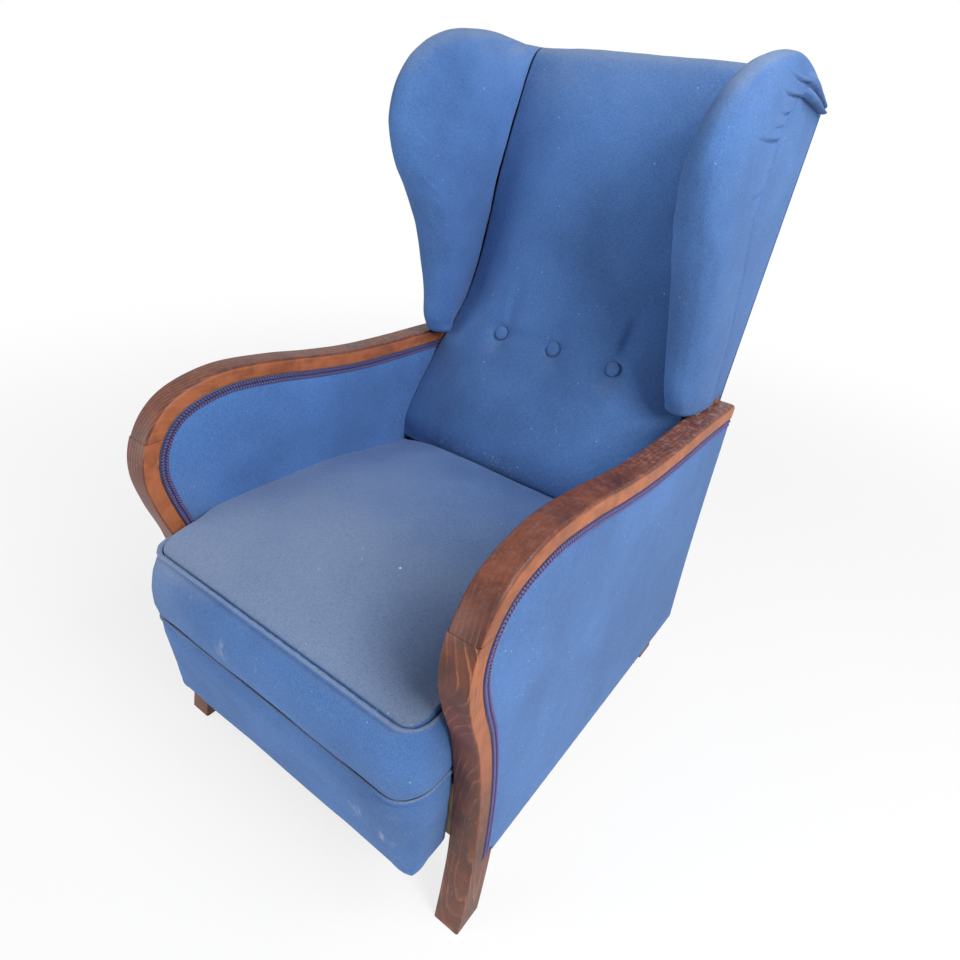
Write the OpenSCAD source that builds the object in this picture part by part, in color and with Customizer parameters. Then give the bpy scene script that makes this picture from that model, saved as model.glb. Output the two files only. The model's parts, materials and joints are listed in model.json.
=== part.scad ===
// Fireside chair with padded wings, show-wood arms and a sprung seat.
// X points right as seen from the front, the front faces -Y and Z is up.
// The origin lies on the floor under the middle of the chair.

/* [Overall] */
// Clear width between the two arms
inner_w = 524; // [500:1:560]
// Depth from the front of the feet to the rear of the back
back_reach = 850; // [820:1:890]
// Height of the roll at the top of the back
back_h = 1052; // [1010:1:1100]
// Height of the wings above the roll of the back
wing_rise = 12; // [6:1:24]

/* [Arms and legs] */
// Width of an arm and its front leg, seen from the front
arm_w = 42; // [38:1:50]
// Depth of the sawn board, seen from the side
board_d = 45; // [40:1:52]
// Length of an arm from the front of its foot to its rear end
arm_len = 700; // [680:1:715]
// Height of the highest point of an arm
arm_h = 616; // [600:1:636]
// Drop from the highest point of an arm to the joint with its front leg
joint_drop = 71; // [61:1:81]
// Bare wood that shows above the braid
show_d = 23; // [18:1:27]
// Depth of the rebate that takes the cloth and the braid
rebate_t = 3; // [2:0.5:4]
// Thickness of a back post
post_t = 36; // [30:1:42]
// Depth of a back post, seen from the side
post_d = 46; // [40:1:52]

/* [Seat] */
// Height of the piping at the front of the seat
seat_h = 397; // [385:1:410]
// Rise of the seat's crown above the piping
seat_crown = 30; // [15:1:40]
// Fall of the seat's sides towards the back
seat_fall = 28; // [15:1:32]
// How far the seat frame reaches in front of the feet
seat_overhang = 33; // [24:1:42]
// Depth of the seat from its front to the back cushion
seat_depth = 496; // [480:1:515]
// Gap between the front of the seat frame and the line of an arm's inner face
box_gap = 16; // [10:1:24]
// Radius of the seat's front corners
corner_r = 28; // [20:1:34]
// How far the front border swells out
border_bulge = 25; // [15:1:30]
// Height of the seam between the border and the lower panel
panel_top_h = 290; // [275:1:305]
// Height of the lower edge of the front panel
panel_low_h = 128; // [115:1:140]
// Diameter of the piping cord
piping_d = 7; // [5:0.5:9]

/* [Seat frame] */
// Height of the underside of the seat rails
rail_low_h = 145; // [138:1:150]
// Height of a seat rail
rail_h = 110; // [90:1:120]
// Thickness of a rail
rail_t = 25; // [20:1:28]
// Drop from the seat's piping to the hessian that lies on the springs
deck_drop = 62; // [54:1:70]
// Diameter of the spring wire
spring_wire_d = 3.5; // [3:0.1:4]
// Largest radius of a spring
spring_r = 42; // [34:1:48]
// Distance between neighbouring springs across the seat
spring_pitch_x = 135; // [110:1:150]
// Distance between neighbouring springs from front to rear
spring_pitch_y = 190; // [150:1:205]
// Width of a webbing strap
strap_w = 50; // [40:1:60]
// Thickness of a webbing strap
strap_t = 1.5; // [1:0.25:2]

/* [Back and wings] */
// How far the back cushion tucks down behind the seat
back_tuck = 21; // [15:1:28]
// Swell of the back cushion in front of its side seams
back_crown = 42; // [25:1:48]
// Depth of a tuft at a button
tuft_depth = 14; // [8:1:18]
// Distance between neighbouring buttons
button_pitch = 116; // [95:1:125]
// Diameter of a covered button
button_d = 25; // [20:1:30]
// How far the wing pads stand out beyond the back posts
wing_out = 4; // [3:1:8]
// Thickness of the wing boards
wing_board_t = 22; // [18:1:24]
// Padding in front of the wing boards
wing_pad_d = 34; // [28:1:40]
// Width of the wing boards, seen from the side
wing_board_d = 46; // [38:1:52]

/* [Side panels] */
// Height of the lower edge of the side panels
side_low_h = 113; // [105:1:122]
// Width of the braid
braid_w = 11; // [8:1:13]
// Thickness of the braid
braid_t = 2.2; // [1.6:0.2:3]
// Thickness of the cover cloth
cloth_t = 1.6; // [1:0.2:2]
// Thickness of the padding inside an arm
arm_pad_t = 3.6; // [2:0.2:4]

/* [Fits] */
// Diameter of the frame's dowels
dowel_d = 10; // [8:1:11]
// Diameter of the pins in the wing boards
pin_d = 6; // [5:1:7]
// Clearance round a dowel
dowel_clear = 0.1; // [0.05:0.05:0.2]
// Clearance between soft pieces
soft_gap = 0.4; // [0.2:0.1:0.6]

/* [Hidden] */

$fn = 48;
wood = "#6b3a22";
raw_wood = "#c9a877";
blue = "#4a6f9f";
braid_blue = "#2c2a6b";
jute = "#b59a6a";
steel = "#8d9196";
wadding = "#e8e2d2";
black_cloth = "#2a2a2c";

// Upper and front edge of arm and leg, shares of [arm_len, arm_h], from the rear to below the floor
arm_shares = [
    [1.05, 0.905], [0.858, 0.923], [0.681, 0.931], [0.539, 0.942], [0.418, 0.962],
    [0.309, 0.985], [0.184, 1], [0.084, 0.981], [0.024, 0.939], [-0.014, 0.872],
    [-0.026, 0.796], [-0.013, 0.707], [0.011, 0.609], [0.026, 0.487], [0.03, 0.366],
    [0.024, 0.219], [0.009, 0.097], [-0.007, 0], [-0.018, -0.08]
];
// Rear line of the back, shares of [back_reach, back_h], from below the floor to above the top
rear_shares = [
    [0.794, -0.05], [0.787, 0], [0.774, 0.057], [0.769, 0.114], [0.775, 0.24],
    [0.79, 0.36], [0.806, 0.447], [0.826, 0.538], [0.88, 0.684], [0.937, 0.832],
    [0.988, 0.964], [1.004, 1.01]
];
// Side seam of the back cushion, shares of the way from its lower edge to the rear and the top
back_shares = [
    [0, 0], [0.02, 0.065], [0.115, 0.14], [0.26, 0.236], [0.407, 0.36], [0.472, 0.46],
    [0.515, 0.58], [0.547, 0.7], [0.6, 0.825], [0.655, 0.93], [0.713, 0.99],
    [0.8, 1], [0.893, 0.975], [0.962, 0.93]
];
// Places of the back cushion's rows, counted in points along its side seam
back_row_shares = [
    0, 0.5, 1, 1.5, 2, 2.5, 3, 3.25, 3.46, 3.6, 3.74, 4, 4.4, 4.9, 5.5,
    6, 7, 8, 9, 9.5, 10, 10.5, 11, 11.5, 12.2, 13
];
// Places of the back cushion's columns, shares of its half width, inside and outside the buttons
back_inner_shares = [0, 0.055, 0.15, 0.27];
back_outer_shares = [0.64, 0.78, 0.92, 1];
back_button_shares = [-0.06, 0, 0.06];
// Half width of the back cushion, shares of the clear half width, against its share of the way
// from the top of the arms to the roll
back_width_shares = [
    [-0.047, 0.978], [0, 0.945], [0.106, 0.908], [0.204, 0.882],
    [0.337, 0.851], [0.494, 0.824], [0.633, 0.798], [0.81, 0.763], [1, 0.733]
];
// Swell of the back cushion, shares of back_crown, against its height share
back_swell_shares = [
    [0, 0.3], [0.04, 0.45], [0.18, 0.85], [0.33, 1], [0.5, 0.9], [0.65, 0.65],
    [0.8, 0.4], [0.93, 0.15], [1, 0.04]
];
// Front and top edge of a wing, shares of back_reach and of the way from the arm to the wing's top
wing_shares = [
    [0.664, -0.04], [0.645, 0.035], [0.633, 0.09], [0.628, 0.185], [0.618, 0.29],
    [0.6, 0.427], [0.576, 0.53], [0.553, 0.613], [0.538, 0.7], [0.538, 0.765],
    [0.558, 0.845], [0.6, 0.92], [0.66, 0.972], [0.74, 1], [0.83, 0.999],
    [0.905, 0.965], [0.955, 0.925], [1.01, 0.86]
];
// Inner face of a wing, shares of the clear half width, against the wing's height share
wing_in_shares = [
    [0, 0.855], [0.23, 0.813], [0.5, 0.802], [0.7, 0.824], [0.8, 0.844], [0.9, 0.866], [1, 0.893]
];
// Heights of the wing pad's sections, shares of the wing's height
wing_level_shares = [
    0.006, 0.035, 0.09, 0.185, 0.3, 0.427, 0.53, 0.613, 0.7, 0.765, 0.845, 0.905, 0.95, 0.98, 0.995
];
// Swell of the border and of the lower panel, shares of border_bulge, against their height share
border_shares = [[0, 0.72], [0.08, 0.9], [0.25, 1], [0.5, 0.95], [0.75, 0.7], [0.9, 0.42], [1, 0.16]];
panel_shares = [[0, 0.22], [0.05, 0.3], [0.45, 0.58], [0.85, 0.84], [1, 0.72]];
// Rise of the seat's middle, shares of seat_crown, against the share of its depth
seat_rise_shares = [[0, 0], [0.08, 0.42], [0.18, 0.8], [0.3, 1], [0.5, 0.85], [0.75, 0.5], [1, 0.16]];
// Rows of the seat from its front to its rear, shares of its depth
seat_row_shares = [0, 0.03, 0.07, 0.12, 0.18, 0.25, 0.33, 0.42, 0.52, 0.62, 0.72, 0.81, 0.89, 0.95, 1];
// Rise of the seat's sides, shares of seat_crown, and their fall, shares of seat_fall
seat_edge_shares = [[0, 0], [0.07, 0.35], [0.12, 0.5], [0.3, 0.42], [0.54, 0.23], [0.68, 0], [1, 0]];
seat_fall_shares = [[0.66, 0], [0.72, 0.11], [0.93, 0.93], [1, 1]];
// Places of the seat's columns, shares of its half width
seat_column_shares = [0, 0.15, 0.3, 0.45, 0.6, 0.73, 0.83, 0.9, 0.95, 0.98, 1];

// Seam on the outside of a wing, shares of back_reach and of the wing's height
wing_seam_shares = [
    [0.765, -0.06], [0.765, 0.02], [0.76, 0.2], [0.755, 0.35], [0.74, 0.5], [0.722, 0.595],
    [0.735, 0.665], [0.748, 0.72], [0.748, 0.77], [0.757, 0.81], [0.78, 0.87], [0.828, 0.895],
    [0.99, 0.87]
];

cut_over = 2;
far_out = 2 * back_h;
half_in = inner_w / 2;
arm_out_x = half_in + arm_w;
core_in_x = half_in + rebate_t;
core_out_x = arm_out_x - rebate_t;
joint_h = arm_h - joint_drop;
box_half = half_in - box_gap;
deck_h = seat_h - deck_drop;
post_out_x = half_in + arm_w * 0.29;
post_in_x = post_out_x - post_t;
post_top_h = back_h * 0.95;
leg_bare_h = side_low_h + braid_w;
inner_low_h = panel_top_h + braid_w;
rail_top_h = rail_low_h + rail_h;
wing_h = back_h + wing_rise;
wing_out_x = post_out_x + wing_out;
wing_in_x = post_out_x - wing_board_t;
wing_split_y = back_reach * 0.7;
front_y = -seat_overhang;
rail_rear_y = front_y + rail_t;
seat_rear_y = front_y + seat_depth;
back_base = [seat_rear_y + back_tuck, seat_h - back_tuck];
tongue_in_x = box_half - rail_t;
side_rail_in_x = half_in - rail_t * 1.2;
side_rail_front_y = corner_r;
arm_rail_low_h = seat_h - piping_d;
back_rail_low_h = seat_h - piping_d;
crest_low_h = back_h * 0.89;
button_columns = [-button_pitch, 0, button_pitch];
tuft_r = button_d;
roll_r = wing_pad_d * 0.88;
rim_clear = 2.5 * soft_gap;
back_end_h = back_h * 0.953;

// Curves through points, and points beside a curve

function mix(a, b, t) = a + (b - a) * t;
function ends(p) = concat([2 * p[0] - p[1]], p, [2 * p[len(p) - 1] - p[len(p) - 2]]);
function bend(a, b, c, d, t) =
    (2 * b + (c - a) * t + (2 * a - 5 * b + 4 * c - d) * t * t + (3 * b - a - 3 * c + d) * t * t * t) / 2;
function point_on(e, s) =
    let (i = min(floor(s), len(e) - 4))
    bend(e[i], e[i + 1], e[i + 2], e[i + 3], s - i);
function spline(p, n) = let (e = ends(p)) [for (k = [0 : n * (len(p) - 1)]) point_on(e, k / n)];
function unit(v) = v / norm(v);
function left_of(v) = [-v[1], v[0]];
function beside(c, d) = [
    for (i = [0 : len(c) - 1])
        c[i] + d * left_of(unit(c[min(i + 1, len(c) - 1)] - c[max(i - 1, 0)]))
];
function backwards(c) = [for (i = [len(c) - 1 : -1 : 0]) c[i]];
function scaled(p, w, h, low) = [for (q = p) [q[0] * w, mix(low, h, q[1])]];
function at_height(c, z) = lookup(z, [for (q = c) [q[1], q[0]]]);
function at_depth(c, y) = lookup(y, [for (q = c) [q[0], q[1]]]);
function first_part(c, n) = [for (i = [0 : n - 1]) c[i]];
function last_part(c, n) = [for (i = [n : len(c) - 1]) c[i]];

arm_curve = spline(scaled(arm_shares, arm_len, arm_h, 0), 4);
rear_curve = spline(scaled(rear_shares, back_reach, back_h, 0), 3);
mid_y = (at_height(beside(rear_curve, -cloth_t), back_end_h) + front_y - border_bulge - rim_clear) / 2;
post_front_curve = beside(rear_curve, post_d);
leg_rear_curve = beside(arm_curve, board_d);
arm_top_h = at_depth(first_part(arm_curve, 20), wing_split_y);
wing_curve = spline(scaled(wing_shares, back_reach, wing_h, arm_top_h), 3);
wing_front_part = first_part(wing_curve, 40);
wing_rear_part = last_part(wing_curve, 41);
wing_board_line = beside(wing_curve, -wing_pad_d);
wing_board_last = len(wing_board_line) - 1;
wing_board_edge = [
    for (i = [0 : 6 : wing_board_last - 7]) wing_board_line[i],
    wing_board_line[wing_board_last]
];
wing_seam_curve = spline(scaled(wing_seam_shares, back_reach, wing_h, arm_top_h), 2);
back_ends = ends([
    for (q = back_shares) [mix(back_base[0], back_reach, q[0]), mix(back_base[1], back_h, q[1])]
]);
last_row = len(back_shares) - 1;
top_row_count = 10;
button_row = back_row_shares[9];

function post_front_y(z) = at_height(post_front_curve, z);
function leg_rear_y(z) = at_height(last_part(leg_rear_curve, 45), z);

// Flat drawings seen from the right side, depth across and height up

module above(z) { translate([-far_out, z]) square([2 * far_out, far_out]); }
module below(z) { translate([-far_out, z - far_out]) square([2 * far_out, far_out]); }
module behind(y) { translate([y, -far_out]) square([far_out, 2 * far_out]); }
module before(y) { translate([y - far_out, -far_out]) square([far_out, 2 * far_out]); }

module strip(c, a, b) { polygon(concat(beside(c, a), backwards(beside(c, b)))); }

module ahead_of_rear(d) {
    c = beside(rear_curve, d);
    polygon(concat(c, [[-far_out, c[len(c) - 1][1]], [-far_out, c[0][1]]]));
}

module under_board(d) {
    c = beside(arm_curve, d);
    polygon(concat(c, [[c[0][0], c[len(c) - 1][1]]]));
}

module behind_leg() {
    c = leg_rear_curve;
    polygon(concat(c, [[c[0][0], c[len(c) - 1][1]]]));
}

module wing_pocket() {
    c = beside(wing_board_edge, soft_gap);
    polygon(concat(c, [[c[len(c) - 1][0], c[0][1]]]));
}

module side_plate(x, t) {
    translate([x, -mid_y, 0])
        rotate([90, 0, 90])
            linear_extrude(t)
                children();
}

module left() { mirror([1, 0, 0]) children(); }

// Dowels and their holes, all on the right side

module rod(p, turn, half, d) {
    translate([p[0], p[1] - mid_y, p[2]])
        rotate(turn)
            cylinder(d = d, h = 2 * half, center = true);
}

angle_to_x = [0, 90, 0];
angle_to_y = [90, 0, 0];
angle_to_z = [0, 0, 0];
half_turn_angle = 180;
dowel_half = 2 * dowel_d;
short_half = 1.6 * dowel_d;
pin_half = 2 * pin_d;
low_pair = [rail_low_h + rail_h * 0.36, rail_low_h + rail_h * 0.64];
wide_pair = [rail_low_h + rail_h * 0.18, rail_low_h + rail_h * 0.82];

module joint_dowels(clear) {
    d = dowel_d + 2 * clear;
    core_mid = (core_in_x + core_out_x) / 2;
    for (side = [-1, 1])
        rod([core_mid + side * arm_w * 0.19, board_d * 0.42, joint_h], angle_to_z, dowel_half, d);
}

module post_dowels(clear) {
    d = dowel_d + 2 * clear;
    post_mid = [for (z = low_pair) post_front_y(z)];
    arm_z = at_depth(first_part(arm_curve, 20), arm_len * 0.96) - board_d / 2;
    rod([post_out_x, post_front_y(arm_z) + post_d / 2, arm_z], angle_to_x, dowel_half, d);
    for (i = [0, 1]) {
        rod([(post_in_x + half_in) / 2, post_mid[i], low_pair[i]], angle_to_y, dowel_half, d);
        rod(
            [post_in_x, post_front_y(wide_pair[i]) + rail_t / 2, wide_pair[i]],
            angle_to_x, dowel_half, d
        );
    }
    for (z = [back_rail_low_h + rail_t, crest_low_h + rail_t])
        rod([post_in_x, post_front_y(z) + rail_t / 2, z], angle_to_x, dowel_half, d);
}

module leg_dowels(clear) {
    d = dowel_d + 2 * clear;
    for (z = low_pair)
        rod([half_in, leg_rear_y(z) - board_d / 2, z], angle_to_x, dowel_half, d);
}

module front_dowels(clear) {
    d = dowel_d + 2 * clear;
    for (z = low_pair)
        rod([(tongue_in_x + box_half) / 2, rail_rear_y, z], angle_to_y, short_half, d);
}

module panel_rail_dowels(clear) {
    d = dowel_d + 2 * clear;
    bottom_z = side_low_h + rail_t * 0.8;
    arm_z = arm_rail_low_h + rail_t * 0.6;
    stile_mid = (post_out_x + core_out_x) / 2;
    for (z = [bottom_z, arm_z]) {
        rod([stile_mid, leg_rear_y(z), z], angle_to_y, short_half, d);
        rod([stile_mid, post_front_y(z), z], angle_to_y, short_half, d);
    }
}

module wing_pins(clear) {
    d = pin_d + 2 * clear;
    board_mid = (wing_in_x + post_out_x) / 2;
    foot_y = at_height(wing_front_part, arm_top_h) + wing_pad_d + wing_board_d / 2;
    foot_z = at_depth(first_part(arm_curve, 20), foot_y);
    rear_z = crest_low_h + wing_board_d;
    rod([(half_in + post_out_x) / 2, foot_y, foot_z], angle_to_z, pin_half, d);
    rod([board_mid, wing_split_y, crest_low_h + wing_board_d * 1.45], angle_to_y, pin_half, d);
    rod([board_mid, post_front_y(rear_z), rear_z], angle_to_y, pin_half, d);
}

// The wooden frame

module post_side() {
    intersection() {
        strip(rear_curve, 0, post_d);
        above(0);
        below(post_top_h);
    }
}

module leg_zone(high) {
    intersection() {
        above(0);
        below(high);
        before(arm_len / 4);
    }
}

module arm_side(a, b) {
    difference() {
        intersection() {
            strip(arm_curve, a, b);
            ahead_of_rear(0);
            above(0);
        }
        leg_zone(joint_h);
    }
}

module leg_side(a, b, high) {
    intersection() {
        strip(arm_curve, a, b);
        leg_zone(high);
    }
}

module arm() {
    color(wood)
        difference() {
            union() {
                side_plate(half_in, arm_w) arm_side(0, show_d);
                side_plate(core_in_x, core_out_x - core_in_x) arm_side(show_d / 2, board_d);
            }
            side_plate(half_in - cut_over, post_out_x - half_in + cut_over) post_side();
            joint_dowels(dowel_clear);
            post_dowels(dowel_clear);
            wing_pins(dowel_clear);
        }
}

module front_leg() {
    color(wood)
        difference() {
            union() {
                side_plate(half_in, arm_w) leg_side(0, show_d, joint_h);
                side_plate(half_in, arm_w) leg_side(0, board_d, leg_bare_h);
                side_plate(half_in, core_out_x - half_in) leg_side(show_d / 2, board_d, inner_low_h);
                side_plate(core_in_x, core_out_x - core_in_x) leg_side(show_d / 2, board_d, joint_h);
            }
            joint_dowels(dowel_clear);
            leg_dowels(dowel_clear);
            panel_rail_dowels(dowel_clear);
        }
}

module back_post() {
    color(wood)
        difference() {
            side_plate(post_in_x, post_t) post_side();
            post_dowels(dowel_clear);
            wing_pins(dowel_clear);
        }
}

module rear_stile() {
    color(raw_wood)
        difference() {
            side_plate(post_out_x, core_out_x - post_out_x)
                intersection() {
                    strip(rear_curve, 0, post_d);
                    above(side_low_h);
                    under_board(board_d);
                }
            panel_rail_dowels(dowel_clear);
        }
}

module between_leg_and_post(low, high) {
    intersection() {
        behind_leg();
        ahead_of_rear(post_d);
        above(low);
        below(high);
    }
}

module bottom_rail() {
    color(raw_wood)
        difference() {
            side_plate(post_out_x, core_out_x - post_out_x)
                between_leg_and_post(side_low_h, side_low_h + rail_t * 1.5);
            panel_rail_dowels(dowel_clear);
        }
}

module arm_rail() {
    color(raw_wood)
        difference() {
            side_plate(core_in_x, rail_t)
                between_leg_and_post(arm_rail_low_h, arm_rail_low_h + rail_t * 1.2);
            panel_rail_dowels(dowel_clear);
        }
}

module side_rail() {
    color(raw_wood)
        difference() {
            union() {
                side_plate(side_rail_in_x, half_in - side_rail_in_x)
                    intersection() {
                        behind(side_rail_front_y);
                        ahead_of_rear(post_d);
                        above(rail_low_h);
                        below(rail_top_h);
                    }
                translate([tongue_in_x, rail_rear_y - mid_y, rail_low_h])
                    cube([rail_t, side_rail_front_y + rail_t - rail_rear_y, rail_h]);
            }
            leg_dowels(dowel_clear);
            front_dowels(dowel_clear);
            post_dowels(dowel_clear);
        }
}

module seat_front(inset) {
    half = box_half - inset;
    r = corner_r - inset;
    translate([0, front_y + corner_r]) {
        for (side = [-1, 1]) translate([side * (half - r), 0]) circle(r);
        translate([-half + r, -r]) square([2 * (half - r), r]);
        translate([-half, 0]) square([2 * half, rail_t]);
    }
}

module front_rail() {
    color(raw_wood)
        difference() {
            translate([0, -mid_y, rail_low_h])
                linear_extrude(rail_h)
                    intersection() {
                        seat_front(0);
                        translate([-box_half, front_y]) square([2 * box_half, rail_t]);
                    }
            front_dowels(dowel_clear);
            left() front_dowels(dowel_clear);
        }
}

module cross_rail(low, high) {
    color(raw_wood)
        difference() {
            side_plate(-post_in_x, 2 * post_in_x)
                intersection() {
                    strip(rear_curve, post_d - rail_t, post_d);
                    above(low);
                    below(high);
                }
            post_dowels(dowel_clear);
            left() post_dowels(dowel_clear);
        }
}

module rear_rail() { cross_rail(rail_low_h, rail_top_h); }
module back_rail() { cross_rail(back_rail_low_h, back_rail_low_h + 2 * rail_t); }
module crest_rail() { cross_rail(crest_low_h, post_top_h); }

module wing_board() {
    difference() {
        intersection() {
            strip(wing_board_edge, 0, -wing_board_d);
            ahead_of_rear(post_d);
        }
        under_board(0);
    }
}

module wing_rail_zone() {
    intersection() {
        behind(wing_split_y);
        above(mix(arm_top_h, wing_h, 0.56));
    }
}

module wing_post() {
    color(raw_wood)
        difference() {
            side_plate(wing_in_x, wing_board_t)
                difference() {
                    wing_board();
                    wing_rail_zone();
                }
            wing_pins(dowel_clear);
        }
}

module wing_rail() {
    color(raw_wood)
        difference() {
            side_plate(wing_in_x, wing_board_t)
                intersection() {
                    wing_board();
                    wing_rail_zone();
                }
            wing_pins(dowel_clear);
        }
}

module corner_block(x, y, in_x, in_y) {
    size = 2 * rail_t;
    translate([x, y - mid_y, rail_top_h - size])
        linear_extrude(size)
            polygon([[0, 0], [in_x * size, 0], [0, in_y * size]]);
}

module corner_blocks() {
    rear_y = post_front_y(rail_top_h - 2 * rail_t) - cut_over * 2;
    color(raw_wood)
        for (side = [0, 1])
            mirror([side, 0, 0]) {
                corner_block(tongue_in_x, rail_rear_y, -1, 1);
                difference() {
                    corner_block(side_rail_in_x, rear_y, -1, -1);
                    side_plate(-far_out, 2 * far_out)
                        difference() {
                            behind(rear_y - 3 * rail_t);
                            ahead_of_rear(post_d);
                        }
                }
            }
}

module frame_dowels() {
    color(raw_wood)
        for (side = [0, 1])
            mirror([side, 0, 0]) {
                joint_dowels(0);
                post_dowels(0);
                leg_dowels(0);
                front_dowels(0);
                panel_rail_dowels(0);
                wing_pins(0);
            }
}

// Solids through rows of points

function joined(rows) = [for (r = rows) for (q = r) q];
function shifted(points) = [for (q = points) [q[0], q[1] - mid_y, q[2]]];
function grid_faces(rows, cols, first, turned) = [
    for (i = [0 : rows - 2]) for (j = [0 : cols - 2])
        let (a = first + i * cols + j, b = a + 1, c = a + cols, d = c + 1)
        each turned ? [[a, c, b], [b, c, d]] : [[a, b, c], [b, d, c]]
];
function rim_faces(edge, other) = [
    for (k = [0 : len(edge) - 1])
        let (n = (k + 1) % len(edge))
        each [[edge[k], other[n], edge[n]], [edge[k], other[k], other[n]]]
];
function rim_of(rows, cols, first) = concat(
    [for (j = [0 : cols - 1]) first + j],
    [for (i = [1 : rows - 1]) first + i * cols + cols - 1],
    [for (j = [cols - 2 : -1 : 0]) first + (rows - 1) * cols + j],
    [for (i = [rows - 2 : -1 : 1]) first + i * cols]
);

function ring_middle(r) = [for (q = r) 1 / len(r)] * r;

module slab(upper, lower) {
    rows = len(upper);
    cols = len(upper[0]);
    count = rows * cols;
    polyhedron(
        shifted(concat(joined(upper), joined(lower))),
        concat(
            grid_faces(rows, cols, 0, false),
            grid_faces(rows, cols, count, true),
            rim_faces(rim_of(rows, cols, 0), rim_of(rows, cols, count))
        )
    );
}

module loft(rings) {
    n = len(rings[0]);
    last = n * (len(rings) - 1);
    count = n * len(rings);
    middle = [ring_middle(rings[0]), ring_middle(rings[len(rings) - 1])];
    polyhedron(
        shifted(concat(joined(rings), middle)),
        concat(
            [
                for (i = [0 : len(rings) - 2]) for (j = [0 : n - 1])
                    let (a = i * n + j, b = i * n + (j + 1) % n, c = a + n, d = b + n)
                    each [[a, c, b], [b, c, d]]
            ],
            [for (j = [0 : n - 1]) [j, (j + 1) % n, count]],
            [for (j = [0 : n - 1]) [last + (j + 1) % n, last + j, count + 1]]
        )
    );
}

// The sprung seat

function corner_run(y) = max(0, front_y + corner_r - y);
function front_half(y) =
    box_half - corner_r + sqrt(max(0, corner_r * corner_r - corner_run(y) * corner_run(y)));
function smooth(t) = let (c = min(1, max(0, t))) c * c * (3 - 2 * c);
function seat_half(y) =
    front_half(y) + (half_in - rebate_t - box_half) * smooth((y - board_d * 0.7) / board_d);
function seat_y(v, u) = mix(front_y, seat_rear_y + (back_tuck - cut_over) * u * u, v);
function seat_z(v, u) =
    let (
        middle = seat_crown * lookup(v, seat_rise_shares),
        edge = seat_crown * lookup(v, seat_edge_shares) - seat_fall * lookup(v, seat_fall_shares)
    )
    seat_h + mix(edge, middle, 1 - pow(abs(u), 3));
seat_columns = [
    for (u = backwards(last_part(seat_column_shares, 1))) -u,
    for (u = seat_column_shares) u
];
function seat_rows(drop, inset) = [
    for (v = seat_row_shares) [
        for (u = seat_columns)
            let (y = seat_y(v, u))
            [
                u * (seat_half(y) - inset),
                mix(y, seat_y(0.5, u), 2 * inset / seat_depth),
                seat_z(v, u) - drop
            ]
    ]
];

module seat_cover() {
    color(blue) slab(seat_rows(0, 0), seat_rows(cloth_t, 0));
}

module seat_stuffing() {
    top = seat_rows(cloth_t + soft_gap, soft_gap);
    color(wadding)
        slab(top, [for (r = top) [for (q = r) [q[0], q[1], deck_h + cloth_t + soft_gap]]]);
}

module seat_piping() {
    out = piping_d / 2 + soft_gap;
    half = box_half - corner_r;
    side_len = board_d * 0.75;
    corner_y = front_y + corner_r;
    color(blue)
        translate([0, corner_y - mid_y, seat_h]) {
            translate([0, -corner_r - out, 0])
                rotate([0, 90, 0])
                    cylinder(d = piping_d, h = 2 * half, center = true);
            for (side = [0, 1])
                mirror([side, 0, 0])
                    translate([half, 0, 0]) {
                        rotate([0, 0, -90])
                            rotate_extrude(angle = 90)
                                translate([corner_r + out, 0])
                                    circle(d = piping_d);
                        translate([corner_r + out, 0, 0])
                            rotate([-90, 0, 0])
                                cylinder(d = piping_d, h = side_len);
                    }
        }
}

function rim_half() = [
    for (k = [0 : 2]) [(box_half - corner_r) * k / 3, front_y, 1, -90],
    for (k = [0 : 4])
        let (turn = 90 * k / 4)
        [
            box_half - corner_r + corner_r * sin(turn), front_y + corner_r - corner_r * cos(turn),
            1 - 0.45 * smooth(turn / 90), turn - 90
        ],
    [box_half, front_y + corner_r * 1.3, 0.45, 0],
    [box_half, front_y + corner_r * 1.7, 0.4, 0]
];
function mirrored(half) = concat(
    [
        for (i = [len(half) - 1 : -1 : 1])
            [-half[i][0], half[i][1], half[i][2], half_turn_angle - half[i][3]]
    ],
    half
);
function rim_at(swell, z) = [
    for (q = mirrored(rim_half()))
        let (out = rim_clear + swell * q[2])
        [q[0] + out * cos(q[3]), q[1] + out * sin(q[3]), z]
];

module band(low, high, shares) {
    upper = [for (s = shares) rim_at(border_bulge * s[1], mix(low, high, s[0]))];
    lower = [for (s = shares) rim_at(0, mix(low, high, s[0]))];
    slab(upper, lower);
}

module front_border() {
    color(blue) band(panel_top_h + piping_d / 2, seat_h - piping_d / 2 - soft_gap, border_shares);
}

module front_panel() {
    color(blue) band(panel_low_h, panel_top_h - piping_d / 2, panel_shares);
}

module front_panel_piping() {
    side_count = 6;
    path = rim_at(border_bulge * 0.78, panel_top_h);
    last = len(path) - 1;
    rings = [
        for (i = [0 : last])
            let (run = unit(path[min(i + 1, last)] - path[max(i - 1, 0)]))
            [
                for (k = [0 : side_count - 1])
                    let (turn = 360 * k / side_count)
                    path[i] + piping_d / 2 * (cos(turn) * [run[1], -run[0], 0] + sin(turn) * [0, 0, 1])
            ]
    ];
    color(blue) loft(rings);
}

module seat_webbing() {
    rear_y = post_front_y(rail_low_h) + rail_t;
    color(jute) {
        for (i = [-1 : 1])
            translate([
                i * spring_pitch_x - strap_w / 2,
                front_y + cut_over - mid_y,
                rail_low_h - 2 * strap_t
            ])
                cube([strap_w, rear_y - front_y - 2 * cut_over, strap_t]);
        for (k = [0 : 2])
            translate([-half_in + cut_over, spring_y(k) - strap_w / 2 - mid_y, rail_low_h - strap_t])
                cube([2 * (half_in - cut_over), strap_w, strap_t]);
    }
}

function spring_y(k) = seat_rear_y * 0.19 + k * spring_pitch_y;

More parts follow.
